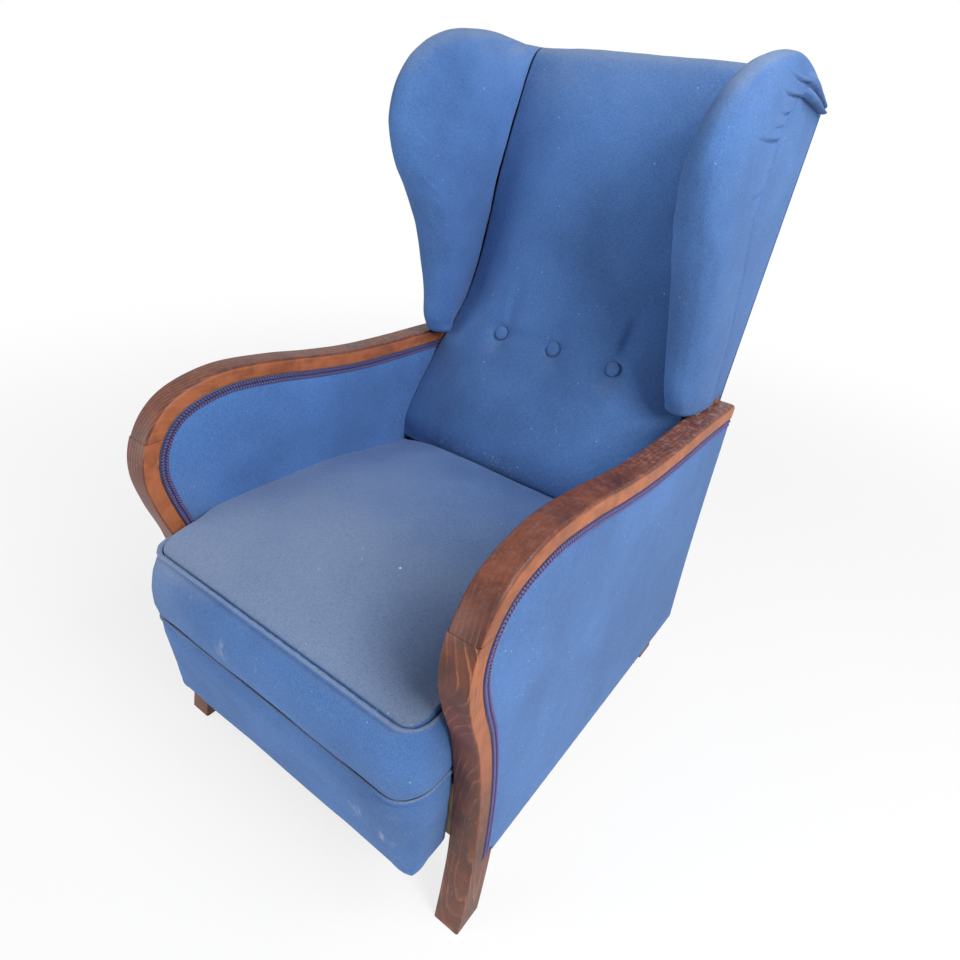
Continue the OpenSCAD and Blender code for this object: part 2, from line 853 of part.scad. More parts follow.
module spring() {
    turn_count = 4;
    step_count = 8;
    low = rail_low_h + spring_wire_d / 2;
    high = deck_h - spring_wire_d / 2;
    path = [
        for (k = [0 : turn_count * step_count])
            let (
                t = k / (turn_count * step_count),
                r = spring_r * (0.62 + 0.38 * pow(abs(2 * t - 1), 1.5)),
                turn = 360 * k / step_count
            )
            [r * cos(turn), r * sin(turn), mix(low, high, smooth(t) * 0.4 + t * 0.6)]
    ];
    rings = [
        for (k = [0 : len(path) - 1])
            let (turn = 360 * k / step_count)
            [
                for (j = [0 : 4])
                    path[k] + spring_wire_d / 2
                        * (sin(72 * j + 36) * [cos(turn), sin(turn), 0] + cos(72 * j + 36) * [0, 0, 1])
            ]
    ];
    translate([0, mid_y, 0]) loft(rings);
}

module seat_springs() {
    color(steel)
        for (i = [-1 : 1])
            for (k = [0 : 2])
                translate([i * spring_pitch_x, spring_y(k) - mid_y, 0])
                    spring();
}

module spring_hessian() {
    color(jute)
        translate([0, -mid_y, deck_h])
            linear_extrude(cloth_t)
                union() {
                    seat_front(soft_gap);
                    translate([-tongue_in_x, front_y + rail_t])
                        square([2 * tongue_in_x, seat_rear_y - front_y]);
                }
}

module edge_wire() {
    half = tongue_in_x - corner_r;
    wire_z = deck_h - spring_wire_d / 2;
    color(steel)
        translate([0, front_y + corner_r - mid_y, wire_z]) {
            translate([0, -corner_r + cut_over, 0])
                rotate([0, 90, 0])
                    cylinder(d = spring_wire_d, h = 2 * half, center = true);
            for (side = [0, 1])
                mirror([side, 0, 0])
                    translate([half, 0, 0]) {
                        rotate([0, 0, -90])
                            rotate_extrude(angle = 90)
                                translate([corner_r - cut_over, 0])
                                    circle(d = spring_wire_d);
                        translate([corner_r - cut_over, 0, 0])
                            rotate([-90, 0, 0])
                                cylinder(d = spring_wire_d, h = seat_rear_y);
                    }
        }
}

module dust_cover() {
    low = rail_low_h - 2 * strap_t - cloth_t;
    color(black_cloth)
        translate([-box_half + 2 * cut_over, rail_rear_y - rail_t / 2 - mid_y, low])
            cube([2 * (box_half - 2 * cut_over), post_front_y(low) - rail_rear_y + rail_t / 2, cloth_t]);
}

// The buttoned back

function back_level(s) =
    s > top_row_count ? 1 : min(1, (point_on(back_ends, s)[1] - back_base[1]) / (back_h - back_base[1]));
function back_half(z) = half_in * lookup((z - arm_top_h) / (back_h - arm_top_h), back_width_shares);
function back_out(s) =
    left_of(unit(point_on(back_ends, min(last_row, s + 0.05)) - point_on(back_ends, max(0, s - 0.05))));
button_z = point_on(back_ends, button_row)[1];
function tuft(x, z) = tuft_depth * max([
    for (b = button_columns)
        let (
            reach = (norm([x - b, z - button_z]) - button_d * 0.6) / tuft_r,
            climb = (z - button_z) / button_pitch,
            crease = climb > 0 ? 0.35 * (1 - smooth(climb)) * (1 - smooth(abs(x - b) / tuft_r * 2)) : 0
        )
        max(1 - smooth(reach), crease)
]);
back_half_columns = concat(
    back_inner_shares,
    [for (u = back_button_shares) button_pitch / back_half(button_z) + u],
    back_outer_shares
);
back_columns = [
    for (u = backwards(last_part(back_half_columns, 1))) -u,
    for (u = back_half_columns) u
];
function back_point(s, u, d) =
    let (
        q = point_on(back_ends, s), out = back_out(s), level = back_level(s),
        x = u * back_half(mix(back_base[1], back_h, level)),
        swell = back_crown * lookup(level, back_swell_shares) * (1 - pow(abs(u), 2.5)),
        step = swell - (s < top_row_count ? tuft(x, q[1]) : 0) - d
    )
    [x, q[0] + out[0] * step, q[1] + out[1] * step];
function back_rows_at(d) = [for (s = back_row_shares) [for (u = back_columns) back_point(s, u, d)]];

module back_cover() {
    color(blue) slab(back_rows_at(cloth_t), back_rows_at(0));
}

module back_stuffing() {
    low_z = post_top_h - cut_over;
    front = back_rows_at(cloth_t + soft_gap);
    rear = [
        for (i = [0 : len(back_row_shares) - 1])
            let (
                s = back_row_shares[i],
                t = (s - top_row_count + 0.5) / (last_row - top_row_count + 0.5),
                z = min(low_z, point_on(back_ends, s)[1]),
                over_y = mix(post_front_y(low_z) - 2 * strap_t, front[len(front) - 1][0][1], t)
            )
            [
                for (q = front[i])
                    t < 0
                    ? [q[0], post_front_y(z) - 2 * strap_t - soft_gap, z]
                    : [q[0], over_y, post_top_h + soft_gap]
            ]
    ];
    color(wadding) slab(rear, front);
}

module back_buttons() {
    out = back_out(button_row);
    tilt = atan2(out[1], -out[0]);
    color(blue)
        for (b = button_columns) {
            seat = back_point(button_row, b / back_half(button_z), 0);
            translate([seat[0], seat[1] - mid_y, seat[2]])
                rotate([90 - tilt, 0, 0])
                    button();
        }
}

module button() {
    dome_h = button_d * 0.26;
    dome_r = (dome_h * dome_h + button_d * button_d / 4) / (2 * dome_h);
    translate([0, 0, 4.5 * soft_gap])
        rotate_extrude()
            intersection() {
                translate([0, dome_h - dome_r]) circle(dome_r);
                square([button_d, button_d]);
            }
}

module back_webbing() {
    low = back_rail_low_h + soft_gap;
    high = post_top_h - cut_over;
    step = (high - low) / 4;
    strap_end_x = wing_in_x - cut_over;
    color(jute) {
        for (i = [-1 : 1])
            side_plate(i * button_pitch - strap_w / 2, strap_w)
                intersection() {
                    strip(rear_curve, post_d, post_d + strap_t);
                    above(low);
                    below(high);
                }
        for (k = [0 : 3])
            side_plate(-strap_end_x, 2 * strap_end_x)
                intersection() {
                    strip(rear_curve, post_d + strap_t, post_d + 2 * strap_t);
                    above(low + step * (k + 0.3));
                    below(low + step * (k + 0.3) + strap_w);
                }
    }
}

module outside_back() {
    wide = arm_out_x - cut_over;
    narrow = wing_out_x - cut_over;
    color(blue)
        for (part = [[wide, side_low_h, arm_h * 0.83], [narrow, arm_h * 0.83 - cut_over, back_end_h]])
            side_plate(-part[0], 2 * part[0])
                intersection() {
                    strip(rear_curve, -cloth_t, 0);
                    above(part[1]);
                    below(part[2]);
                }
}

// The padded wings

function pad_ring(share) =
    let (
        z = mix(arm_top_h, wing_h, share),
        over = min(1, max(0, (z - wing_h + roll_r) / roll_r)),
        inset = roll_r * (1 - sqrt(1 - over * over)) * 0.8,
        front = at_height(wing_front_part, z),
        rear = z > wing_rear_part[len(wing_rear_part) - 1][1]
            ? min(at_height(wing_rear_part, z), at_height(rear_curve, z)) : at_height(rear_curve, z),
        roll = min(roll_r, (rear - front) / 4),
        in_x = half_in * lookup(share, wing_in_shares) + inset,
        out_x = wing_out_x - inset,
        back_x = back_half(min(z, back_h)) + soft_gap + inset / 2,
        seam = at_height([for (s = [0 : 0.25 : top_row_count]) point_on(back_ends, s)], min(z, back_h)),
        seam_y = min(rear - roll, max(seam, front + roll * 1.2)),
        mid = [(in_x + out_x) / 2, front + roll]
    )
    [
        [back_x, rear, z],
        [back_x, seam_y, z],
        [mix(back_x, in_x, 0.4) - cut_over, mix(seam_y, mid[1], 0.35), z],
        [mix(back_x, in_x, 0.8) - cut_over, mix(seam_y, mid[1], 0.7), z],
        for (k = [0 : 6])
            [mid[0] - (out_x - in_x) / 2 * cos(30 * k), mid[1] - roll * sin(30 * k), z],
        [out_x, mix(mid[1], rear, 0.5), z],
        [out_x, rear, z]
    ];

module behind_wing_seam() {
    top_z = wing_seam_curve[len(wing_seam_curve) - 1][1];
    polygon(concat(wing_seam_curve, [[far_out, top_z], [far_out, 0]]));
}

module behind_post_front() {
    intersection() {
        polygon(concat(
            beside(rear_curve, post_d + 2 * strap_t + soft_gap),
            [[far_out, back_h], [far_out, 0]]
        ));
        below(post_top_h + soft_gap);
    }
}

module wing_pad() {
    color(blue)
        difference() {
            loft([for (share = wing_level_shares) pad_ring(share)]);
            side_plate(wing_in_x - soft_gap, wing_board_t + 2 * soft_gap) wing_pocket();
            side_plate(post_out_x - soft_gap, far_out) behind_wing_seam();
            side_plate(half_in / 2, far_out) behind_post_front();
            side_plate(half_in / 2, far_out) under_board(-soft_gap);
        }
}

module wing_panel() {
    color(blue)
        side_plate(post_out_x + soft_gap, cloth_t)
            difference() {
                intersection() {
                    offset(delta = -soft_gap) behind_wing_seam();
                    ahead_of_rear(0);
                }
                under_board(-soft_gap);
            }
}

// Cloth panels and braid on the sides

module outer_panel_side(d) {
    difference() {
        intersection() {
            under_board(d);
            ahead_of_rear(0);
            above(side_low_h);
        }
        leg_side(0, board_d + soft_gap, leg_bare_h + soft_gap);
    }
}

module outer_panel() {
    color(blue) side_plate(core_out_x, cloth_t) outer_panel_side(show_d + soft_gap);
}

module inner_panel() {
    color(blue) {
        side_plate(core_in_x - cloth_t, cloth_t)
            intersection() {
                under_board(show_d + soft_gap);
                ahead_of_rear(post_d + soft_gap);
                above(inner_low_h);
            }
        side_plate(core_in_x - cloth_t - arm_pad_t, cloth_t + arm_pad_t)
            intersection() {
                under_board(show_d + braid_w + cut_over);
                ahead_of_rear(post_d + soft_gap);
                above(inner_low_h);
            }
    }
}

module braid_side(low) {
    intersection() {
        strip(arm_curve, show_d + soft_gap, show_d + braid_w);
        above(low);
    }
}

module outer_braid() {
    color(braid_blue)
        side_plate(core_out_x + cloth_t, braid_t)
            intersection() {
                braid_side(leg_bare_h + soft_gap);
                ahead_of_rear(0);
            }
}

module inner_braid() {
    color(braid_blue)
        side_plate(core_in_x - cloth_t - braid_t, braid_t)
            intersection() {
                braid_side(seat_h);
                ahead_of_rear(post_d + soft_gap);
            }
}

left() arm();  // arm_left
arm();  // arm_right
left() front_leg();  // front_leg_left
front_leg();  // front_leg_right
left() back_post();  // back_post_left
back_post();  // back_post_right
left() rear_stile();  // rear_stile_left
rear_stile();  // rear_stile_right
front_rail();
left() side_rail();  // side_rail_left
side_rail();  // side_rail_right
rear_rail();
left() bottom_rail();  // bottom_rail_left
bottom_rail();  // bottom_rail_right
left() arm_rail();  // arm_rail_left
arm_rail();  // arm_rail_right
back_rail();
crest_rail();
left() wing_post();  // wing_post_left
wing_post();  // wing_post_right
left() wing_rail();  // wing_rail_left
wing_rail();  // wing_rail_right
corner_blocks();
frame_dowels();
seat_webbing();
seat_springs();
edge_wire();
spring_hessian();
seat_stuffing();
seat_cover();
seat_piping();
front_border();
front_panel();
front_panel_piping();
dust_cover();
back_webbing();
back_stuffing();
back_cover();
back_buttons();
outside_back();
left() wing_pad();  // wing_pad_left
wing_pad();  // wing_pad_right
left() wing_panel();  // wing_panel_left
wing_panel();  // wing_panel_right
left() inner_panel();  // inner_panel_left
inner_panel();  // inner_panel_right
left() outer_panel();  // outer_panel_left
outer_panel();  // outer_panel_right
left() inner_braid();  // inner_braid_left
inner_braid();  // inner_braid_right
left() outer_braid();  // outer_braid_left
outer_braid();  // outer_braid_right
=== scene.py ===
import json
import math
import bpy
import bmesh
import numpy as np
from mathutils import Vector, Matrix, noise


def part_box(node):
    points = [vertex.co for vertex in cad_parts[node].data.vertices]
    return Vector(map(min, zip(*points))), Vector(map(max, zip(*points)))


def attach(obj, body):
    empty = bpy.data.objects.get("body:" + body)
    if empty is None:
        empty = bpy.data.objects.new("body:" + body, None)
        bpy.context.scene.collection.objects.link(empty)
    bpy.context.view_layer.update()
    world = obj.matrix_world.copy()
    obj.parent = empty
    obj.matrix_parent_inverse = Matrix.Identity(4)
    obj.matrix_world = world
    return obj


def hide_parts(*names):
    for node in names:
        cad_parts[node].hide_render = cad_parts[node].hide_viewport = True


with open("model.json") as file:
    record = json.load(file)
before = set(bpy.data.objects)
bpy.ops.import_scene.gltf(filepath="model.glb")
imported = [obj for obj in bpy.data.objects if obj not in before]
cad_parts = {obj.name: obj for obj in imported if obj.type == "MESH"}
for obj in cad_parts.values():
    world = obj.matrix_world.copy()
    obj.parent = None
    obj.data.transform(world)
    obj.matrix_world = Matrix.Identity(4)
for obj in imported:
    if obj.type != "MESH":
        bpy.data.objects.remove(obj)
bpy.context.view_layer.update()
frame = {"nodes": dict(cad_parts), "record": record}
nodes = frame["nodes"]
scene = bpy.context.scene

# The chair's own sizes, in metres. Depths run back from the front of the feet.
chair = {
    "innerHalf": 0.262, "armWidth": 0.042, "boardDepth": 0.045, "armLength": 0.7, "armHeight": 0.616,
    "jointHeight": 0.545, "showDepth": 0.023, "rebate": 0.003, "backReach": 0.85, "backHeight": 1.052,
    "wingHeight": 1.064, "seatHeight": 0.397, "seatRear": 0.463, "overhang": 0.033,
    "postInner": 0.2382, "postOuter": 0.2742, "postDepth": 0.046, "sideLow": 0.113, "legLow": 0.124,
}
midY = -chair["overhang"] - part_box("front_rail")[0].y
sides = ((1, "Right"), (-1, "Left"))

# Lines of the side view, as shares of the chair's depth and height
armShares = [
    (1.05, 0.905), (0.858, 0.923), (0.681, 0.931), (0.539, 0.942), (0.418, 0.962), (0.309, 0.985),
    (0.184, 1), (0.084, 0.981), (0.024, 0.939), (-0.014, 0.872), (-0.026, 0.796), (-0.013, 0.707),
    (0.011, 0.609), (0.026, 0.487), (0.03, 0.366), (0.024, 0.219), (0.009, 0.097), (-0.007, 0),
    (-0.018, -0.08),
]
rearShares = [
    (0.794, -0.05), (0.787, 0), (0.774, 0.057), (0.769, 0.114), (0.775, 0.24), (0.79, 0.36),
    (0.806, 0.447), (0.826, 0.538), (0.88, 0.684), (0.937, 0.832), (0.988, 0.964), (1.004, 1.01),
]
backShares = [
    (0, 0), (0.02, 0.065), (0.115, 0.14), (0.26, 0.236), (0.407, 0.36), (0.472, 0.46), (0.515, 0.58),
    (0.547, 0.7), (0.6, 0.825), (0.655, 0.93), (0.713, 0.99), (0.8, 1), (0.893, 0.975), (0.962, 0.93),
]
wingShares = [
    (0.664, -0.04), (0.645, 0.035), (0.633, 0.09), (0.628, 0.185), (0.618, 0.29), (0.6, 0.427),
    (0.576, 0.53), (0.553, 0.613), (0.538, 0.7), (0.538, 0.765), (0.558, 0.845), (0.6, 0.92),
    (0.66, 0.972), (0.74, 1), (0.83, 0.999), (0.905, 0.965), (0.955, 0.925), (1.0, 0.875),
]
wingSeamShares = [
    (0.765, -0.02), (0.765, 0.02), (0.76, 0.2), (0.755, 0.35), (0.74, 0.5), (0.722, 0.595),
    (0.735, 0.665), (0.748, 0.72), (0.748, 0.77), (0.757, 0.81), (0.78, 0.87), (0.828, 0.91), (0.99, 0.868),
]


def mix(a, b, t):
    return a + (b - a) * t


def smooth(t):
    t = np.clip(t, 0, 1)
    return t * t * (3 - 2 * t)


def lookup(x, pairs):
    return np.interp(x, [p[0] for p in pairs], [p[1] for p in pairs])


def bunched(count):     # from -1 to 1, closer together toward both ends
    return np.sin(np.linspace(-1, 1, count) * math.pi / 2)


def bell(distance, spread):
    return np.exp(-(distance / spread) ** 2)


def unit(vectors):
    return vectors / np.linalg.norm(vectors, axis=1)[:, None]


def leftOf(run):
    return np.stack([-run[:, 1], run[:, 0]], 1)


# A smooth curve through points, read at places that are counted in points
def curveAt(points, places):
    p = np.array(points, float)
    e = np.vstack([2 * p[0] - p[1], p, 2 * p[-1] - p[-2]])
    s = np.clip(np.atleast_1d(np.asarray(places, float)), 0, len(p) - 1)
    i = np.minimum(s.astype(int), len(p) - 2)
    t = (s - i)[:, None]
    a, b, c, d = e[i], e[i + 1], e[i + 2], e[i + 3]
    return (2 * b + (c - a) * t + (2 * a - 5 * b + 4 * c - d) * t ** 2 + (3 * b - a - 3 * c + d) * t ** 3) / 2


def curveOf(points, steps):
    return curveAt(points, np.arange(0, (len(points) - 1) * steps + 1) / steps)


# Shares of a frame that reaches from a low corner to a high corner
def placed(shares, low, high):
    return [(mix(low[0], high[0], a), mix(low[1], high[1], b)) for a, b in shares]


def beside(curve, distance):        # the curve moved to its left
    return curve + distance * leftOf(unit(np.gradient(curve, axis=0)))


def lengthsOf(curve):
    return np.concatenate([[0], np.cumsum(np.linalg.norm(np.diff(curve, axis=0), axis=1))])


def evenly(curve, count):           # the curve with its points evenly spaced
    curve = np.asarray(curve, float)
    far = lengthsOf(curve)
    at = np.linspace(0, far[-1], count)
    return np.stack([np.interp(at, far, curve[:, k]) for k in range(curve.shape[1])], 1)


armLine = curveOf(placed(armShares, (0, 0), (chair["armLength"], chair["armHeight"])), 12)
armTopPart = armLine[:90][::-1]
rearLine = curveOf(placed(rearShares, (0, 0), (chair["backReach"], chair["backHeight"])), 12)


def rearY(z):
    return np.interp(z, rearLine[:, 1], rearLine[:, 0])


def armTop(y):
    return np.interp(y, armTopPart[:, 0], armTopPart[:, 1])


armTopHeight = float(armTop(chair["backReach"] * 0.7))      # where the wing stands on the arm
print("curves ready")


view = {
    "place": (0.56006, -0.38103 - midY, 1.01993), "azimuth": 32.48, "elevation": 30.87, "roll": 5.69,
    "lens": 25.098, "sensor": 36, "shiftX": -0.0351, "shiftY": -0.01174,
}


def addCamera():
    az, el, roll = (math.radians(view[k]) for k in ("azimuth", "elevation", "roll"))
    back = Vector((math.sin(az) * math.cos(el), -math.cos(az) * math.cos(el), math.sin(el)))
    right = (-back).cross(Vector((0, 0, 1))).normalized()
    up = right.cross(-back).normalized()
    turned = right * math.cos(roll) + up * math.sin(roll)
    raised = up * math.cos(roll) - right * math.sin(roll)
    bpy.ops.object.camera_add(location=view["place"])
    camera = bpy.context.object
    camera.rotation_euler = Matrix((turned, raised, back)).transposed().to_euler()
    camera.data.sensor_width = view["sensor"]
    camera.data.lens = view["lens"]
    camera.data.shift_x = view["shiftX"]
    camera.data.shift_y = view["shiftY"]
    scene.camera = camera


addCamera()
scene.view_settings.view_transform = "Standard"

lampsAimAt = (0, 0, 0.5)
lamps = [
    {"name": "key", "place": (2.2, -0.75, 2.1), "size": 1.1, "power": 54, "colour": (1.0, 0.985, 0.965)},
    {"name": "top", "place": (1.3, 0.1, 2.5), "size": 1.0, "power": 30, "colour": (0.95, 0.975, 1.0)},
    {"name": "front", "place": (-1.5, -2.4, 1.0), "size": 1.6, "power": 38, "colour": (0.97, 0.98, 1.0)},
]
for lamp in lamps:
    bpy.ops.object.light_add(type="AREA", location=lamp["place"])
    light = bpy.context.object
    light.name = lamp["name"] + "Lamp"
    light.rotation_euler = (Vector(lampsAimAt) - Vector(lamp["place"])).to_track_quat("-Z", "Y").to_euler()
    light.data.size = lamp["size"]
    light.data.energy = lamp["power"]
    light.data.color = lamp["colour"]


# One value in a shader, whose sums and products add Math nodes
class Wire:
    def __init__(self, paint, socket):
        self.paint = paint
        self.socket = socket

    def maths(self, operation, *values):
        inputs = {i: v for i, v in enumerate(values)}
        return self.paint.node("ShaderNodeMath", {"operation": operation}, inputs)["Value"]

    def __add__(self, other):
        return self.maths("ADD", self, other)

    def __sub__(self, other):
        return self.maths("SUBTRACT", self, other)

    def __rsub__(self, other):
        return self.maths("SUBTRACT", other, self)

    def __mul__(self, other):
        return self.maths("MULTIPLY", self, other)

    def __truediv__(self, other):
        return self.maths("DIVIDE", self, other)

    def __pow__(self, other):
        return self.maths("POWER", self, other)

    __radd__ = __add__
    __rmul__ = __mul__

    def sine(self):
        return self.maths("SINE", self)

    def size(self):
        return self.maths("ABSOLUTE", self)

    def root(self):
        return self.maths("SQRT", self)

    def part(self):
        return self.maths("FRACT", self)

    def most(self, other):
        return self.maths("MAXIMUM", self, other)

    def between(self, low, high):       # 0 below low, 1 above high, smooth between
        settings = {"interpolation_type": "SMOOTHSTEP"}
        inputs = {"Value": self, "From Min": low, "From Max": high}
        return self.paint.node("ShaderNodeMapRange", settings, inputs)["Result"]


# The nodes of one material
class Paint:
    def __init__(self, name):
        self.material = bpy.data.materials.new(name)
        self.material.use_nodes = True
        self.tree = self.material.node_tree
        self.shader = self.tree.nodes["Principled BSDF"]
        self.coordinates = self.node("ShaderNodeTexCoord")
        self.where = self.coordinates["Object"]
        self.flat = self.coordinates["UV"]

    # Any node: its settings first, then the values or links of its sockets
    def node(self, kind, settings=None, inputs=None):
        made = self.tree.nodes.new(kind)
        for key, value in (settings or {}).items():
            setattr(made, key, value)
        for key, value in (inputs or {}).items():
            self.feed(made.inputs[key], value)
        return {s.name: Wire(self, s) for s in reversed(list(made.outputs)) if s.enabled}

    def feed(self, socket, value):
        if isinstance(value, Wire):
            self.tree.links.new(value.socket, socket)
        elif isinstance(value, (tuple, list)) and len(value) == 3 and socket.type == "RGBA":
            socket.default_value = (*value, 1)
        else:
            socket.default_value = value

    def blend(self, factor, a, b):
        made = self.tree.nodes.new("ShaderNodeMix")
        made.data_type = "RGBA"
        for place, value in ((0, factor), (6, a), (7, b)):
            self.feed(made.inputs[place], value)
        return Wire(self, made.outputs[2])

    def noise(self, where, scale, detail=3, rough=0.5, distortion=0):
        inputs = {"Vector": where, "Scale": scale, "Detail": detail, "Roughness": rough, "Distortion": distortion}
        return self.node("ShaderNodeTexNoise", None, inputs)["Fac"]

    # Noise with its own scale along each axis
    def strands(self, where, scale, detail, rough=0.5, turn=(0, 0, 0), place=(0, 0, 0)):
        inputs = {"Vector": where, "Scale": scale, "Rotation": turn, "Location": place}
        return self.noise(self.node("ShaderNodeMapping", None, inputs)["Vector"], 1, detail, rough)

    def cells(self, where, scale):
        inputs = {"Vector": where, "Scale": scale, "Randomness": 1}
        return self.node("ShaderNodeTexVoronoi", {"feature": "F1"}, inputs)

    def weave(self, u, v, pitch):       # two sets of ridges that pass over each other
        turns = 2 * math.pi / pitch
        return (u * turns).sine() * (v * turns).sine() * 0.5 + 0.5

    def axes(self, where):
        made = self.node("ShaderNodeSeparateXYZ", None, {"Vector": where})
        return made["X"], made["Y"], made["Z"]

    def normalAxes(self):
        return self.axes(self.node("ShaderNodeNewGeometry")["Normal"])

    def away(self, centre):             # distance from a place on the object
        inputs = {0: self.where, 1: centre}
        return self.node("ShaderNodeVectorMath", {"operation": "DISTANCE"}, inputs)["Value"]

    def bump(self, height, strength, distance, **under):
        inputs = {"Height": height, "Strength": strength, "Distance": distance, **under}
        return self.node("ShaderNodeBump", None, inputs)["Normal"]

    def finish(self, **values):
        names = {"colour": "Base Color", "rough": "Roughness", "normal": "Normal", "metal": "Metallic",
                 "sheen": "Sheen Weight", "sheenRough": "Sheen Roughness", "sheenTint": "Sheen Tint",
                 "coat": "Coat Weight", "coatRough": "Coat Roughness", "specular": "Specular IOR Level"}
        for key, value in values.items():
            self.feed(self.shader.inputs[names[key]], value)
        return self.material


clothLook = {
    "deep": (0.042, 0.114, 0.305), "bright": (0.080, 0.216, 0.540), "faded": (0.215, 0.272, 0.385),
    "paleThread": (0.27, 0.38, 0.60), "darkThread": (0.022, 0.055, 0.16), "threads": 0.0011,
    "lint": (0.62, 0.66, 0.72), "crumb": (0.72, 0.74, 0.76), "scuff": (0.55, 0.6, 0.68),
    "paleCorner": (-0.23, -0.43, 0.37), "paleReach": 0.2, "fleck": (0.065, -0.253, 0.424), "fleckSize": 0.0034,
    "scuffs": [((-0.062, -0.447, 0.338), 0.026), ((-0.008, -0.447, 0.349), 0.017),
               ((0.168, -0.441, 0.214), 0.026), ((0.215, -0.441, 0.198), 0.022)],
}


def makeCloth():
    look = clothLook
    paint = Paint("blueCloth")
    _, y, z = paint.axes(paint.where)
    up = paint.normalAxes()[2]
    broad = paint.noise(paint.where, 5, 3, 0.55)
    patchy = paint.noise(paint.where, 32, 4, 0.6)
    heather = paint.noise(paint.where, 640, 3, 0.7)
    warpSlub = paint.strands(paint.flat, (1000, 110, 1), 2, 0.6)
    weftSlub = paint.strands(paint.flat, (110, 1000, 1), 2, 0.6, place=(3, 7, 0))
    slubs = (warpSlub + weftSlub) * 0.5
    # upward faces, the top of the chair and one corner have lost colour in the sun; the seat fades less toward its
    # rear, partly its own deeper colour and partly painted shade under the back
    sunFadeAndRearShade = up.between(0.35, 0.98) * (0.80 - y.between(-0.36, 0.06) * 0.42)
    corner = (look["paleReach"] - paint.away(look["paleCorner"])).between(0, look["paleReach"]) * 0.5
    faded = (sunFadeAndRearShade + corner + z.between(0.88, 1.06) * 0.22 + (broad - 0.5) * 0.7).between(0.08, 0.95)
    colour = paint.blend(broad.between(0.3, 0.7) * 0.55 + patchy * 0.25, look["deep"], look["bright"])
    colour = paint.blend(faded * 0.85, colour, look["faded"])
    u, v, _ = paint.axes(paint.flat)
    weave = paint.weave(u, v, look["threads"])
    pale = (weave * 0.3 + heather * 0.9 + slubs * 0.6 - 0.45).between(0.25, 0.8)
    colour = paint.blend(pale * 0.2, colour, look["paleThread"])
    dark = (1.08 - heather - slubs).between(0.02, 0.24)
    colour = paint.blend(dark * 0.3, colour, look["darkThread"])
    # lint in two sizes
    cells = paint.cells(paint.where, 68)
    chance = paint.axes(cells["Color"])[0].between(0.66, 0.72) * (broad + patchy).between(0.8, 1.15)
    specks = (0.085 - cells["Distance"]).between(0, 0.04) * chance
    cells = paint.cells(paint.where, 190)
    chance = paint.axes(cells["Color"])[1].between(0.80, 0.85) * patchy.between(0.45, 0.65)
    dots = (0.17 - cells["Distance"]).between(0, 0.09) * chance
    colour = paint.blend((specks * 0.75).most(dots * 0.45), colour, look["lint"])
    # crumbs along the seam behind the seat, and one white fleck on it
    seam = y.between(0.048, 0.058) * (1 - y.between(0.08, 0.09))
    seam = seam * z.between(0.385, 0.395) * (1 - z.between(0.42, 0.43))
    crumbs = seam * paint.noise(paint.where, 330, 3, 0.7).between(0.6, 0.68) * patchy.between(0.4, 0.6)
    fleck = (look["fleckSize"] - paint.away(look["fleck"])).between(0, 0.001)
    colour = paint.blend((crumbs * 0.7).most(fleck), colour, look["crumb"])
    # dry scuffs on the border and on the lower panel
    streak = paint.strands(paint.where, (60, 60, 18), 4, 0.7, turn=(0, 0.5, 0)).between(0.45, 0.75)
    for centre, reach in look["scuffs"]:
        near = (reach - paint.away(centre)).between(0, reach)
        colour = paint.blend(near * streak * 0.6, colour, look["scuff"])
    threads = paint.bump(weave * 0.35 + heather * 0.8 + slubs * 0.8, 0.5, 0.0006)
    normal = paint.bump(patchy, 0.25, 0.002, Normal=threads)
    return paint.finish(colour=colour, rough=heather * 0.1 + 0.83, normal=normal, sheen=0.16,
                        sheenRough=0.5, sheenTint=(0.65, 0.78, 1.0), specular=0.2)


woodLook = {
    "dark": (0.060, 0.018, 0.013), "mid": (0.185, 0.055, 0.030), "line": (0.52, 0.200, 0.085),
    "side": (0.47, 0.150, 0.058), "dust": (0.40, 0.25, 0.235), "foot": (0.16, 0.085, 0.07), "ring": 0.0062,
    "bare": (0.75, 0.62, 0.5), "knock": (0.303, -0.412, 0.525), "knockSize": 0.0042,
}


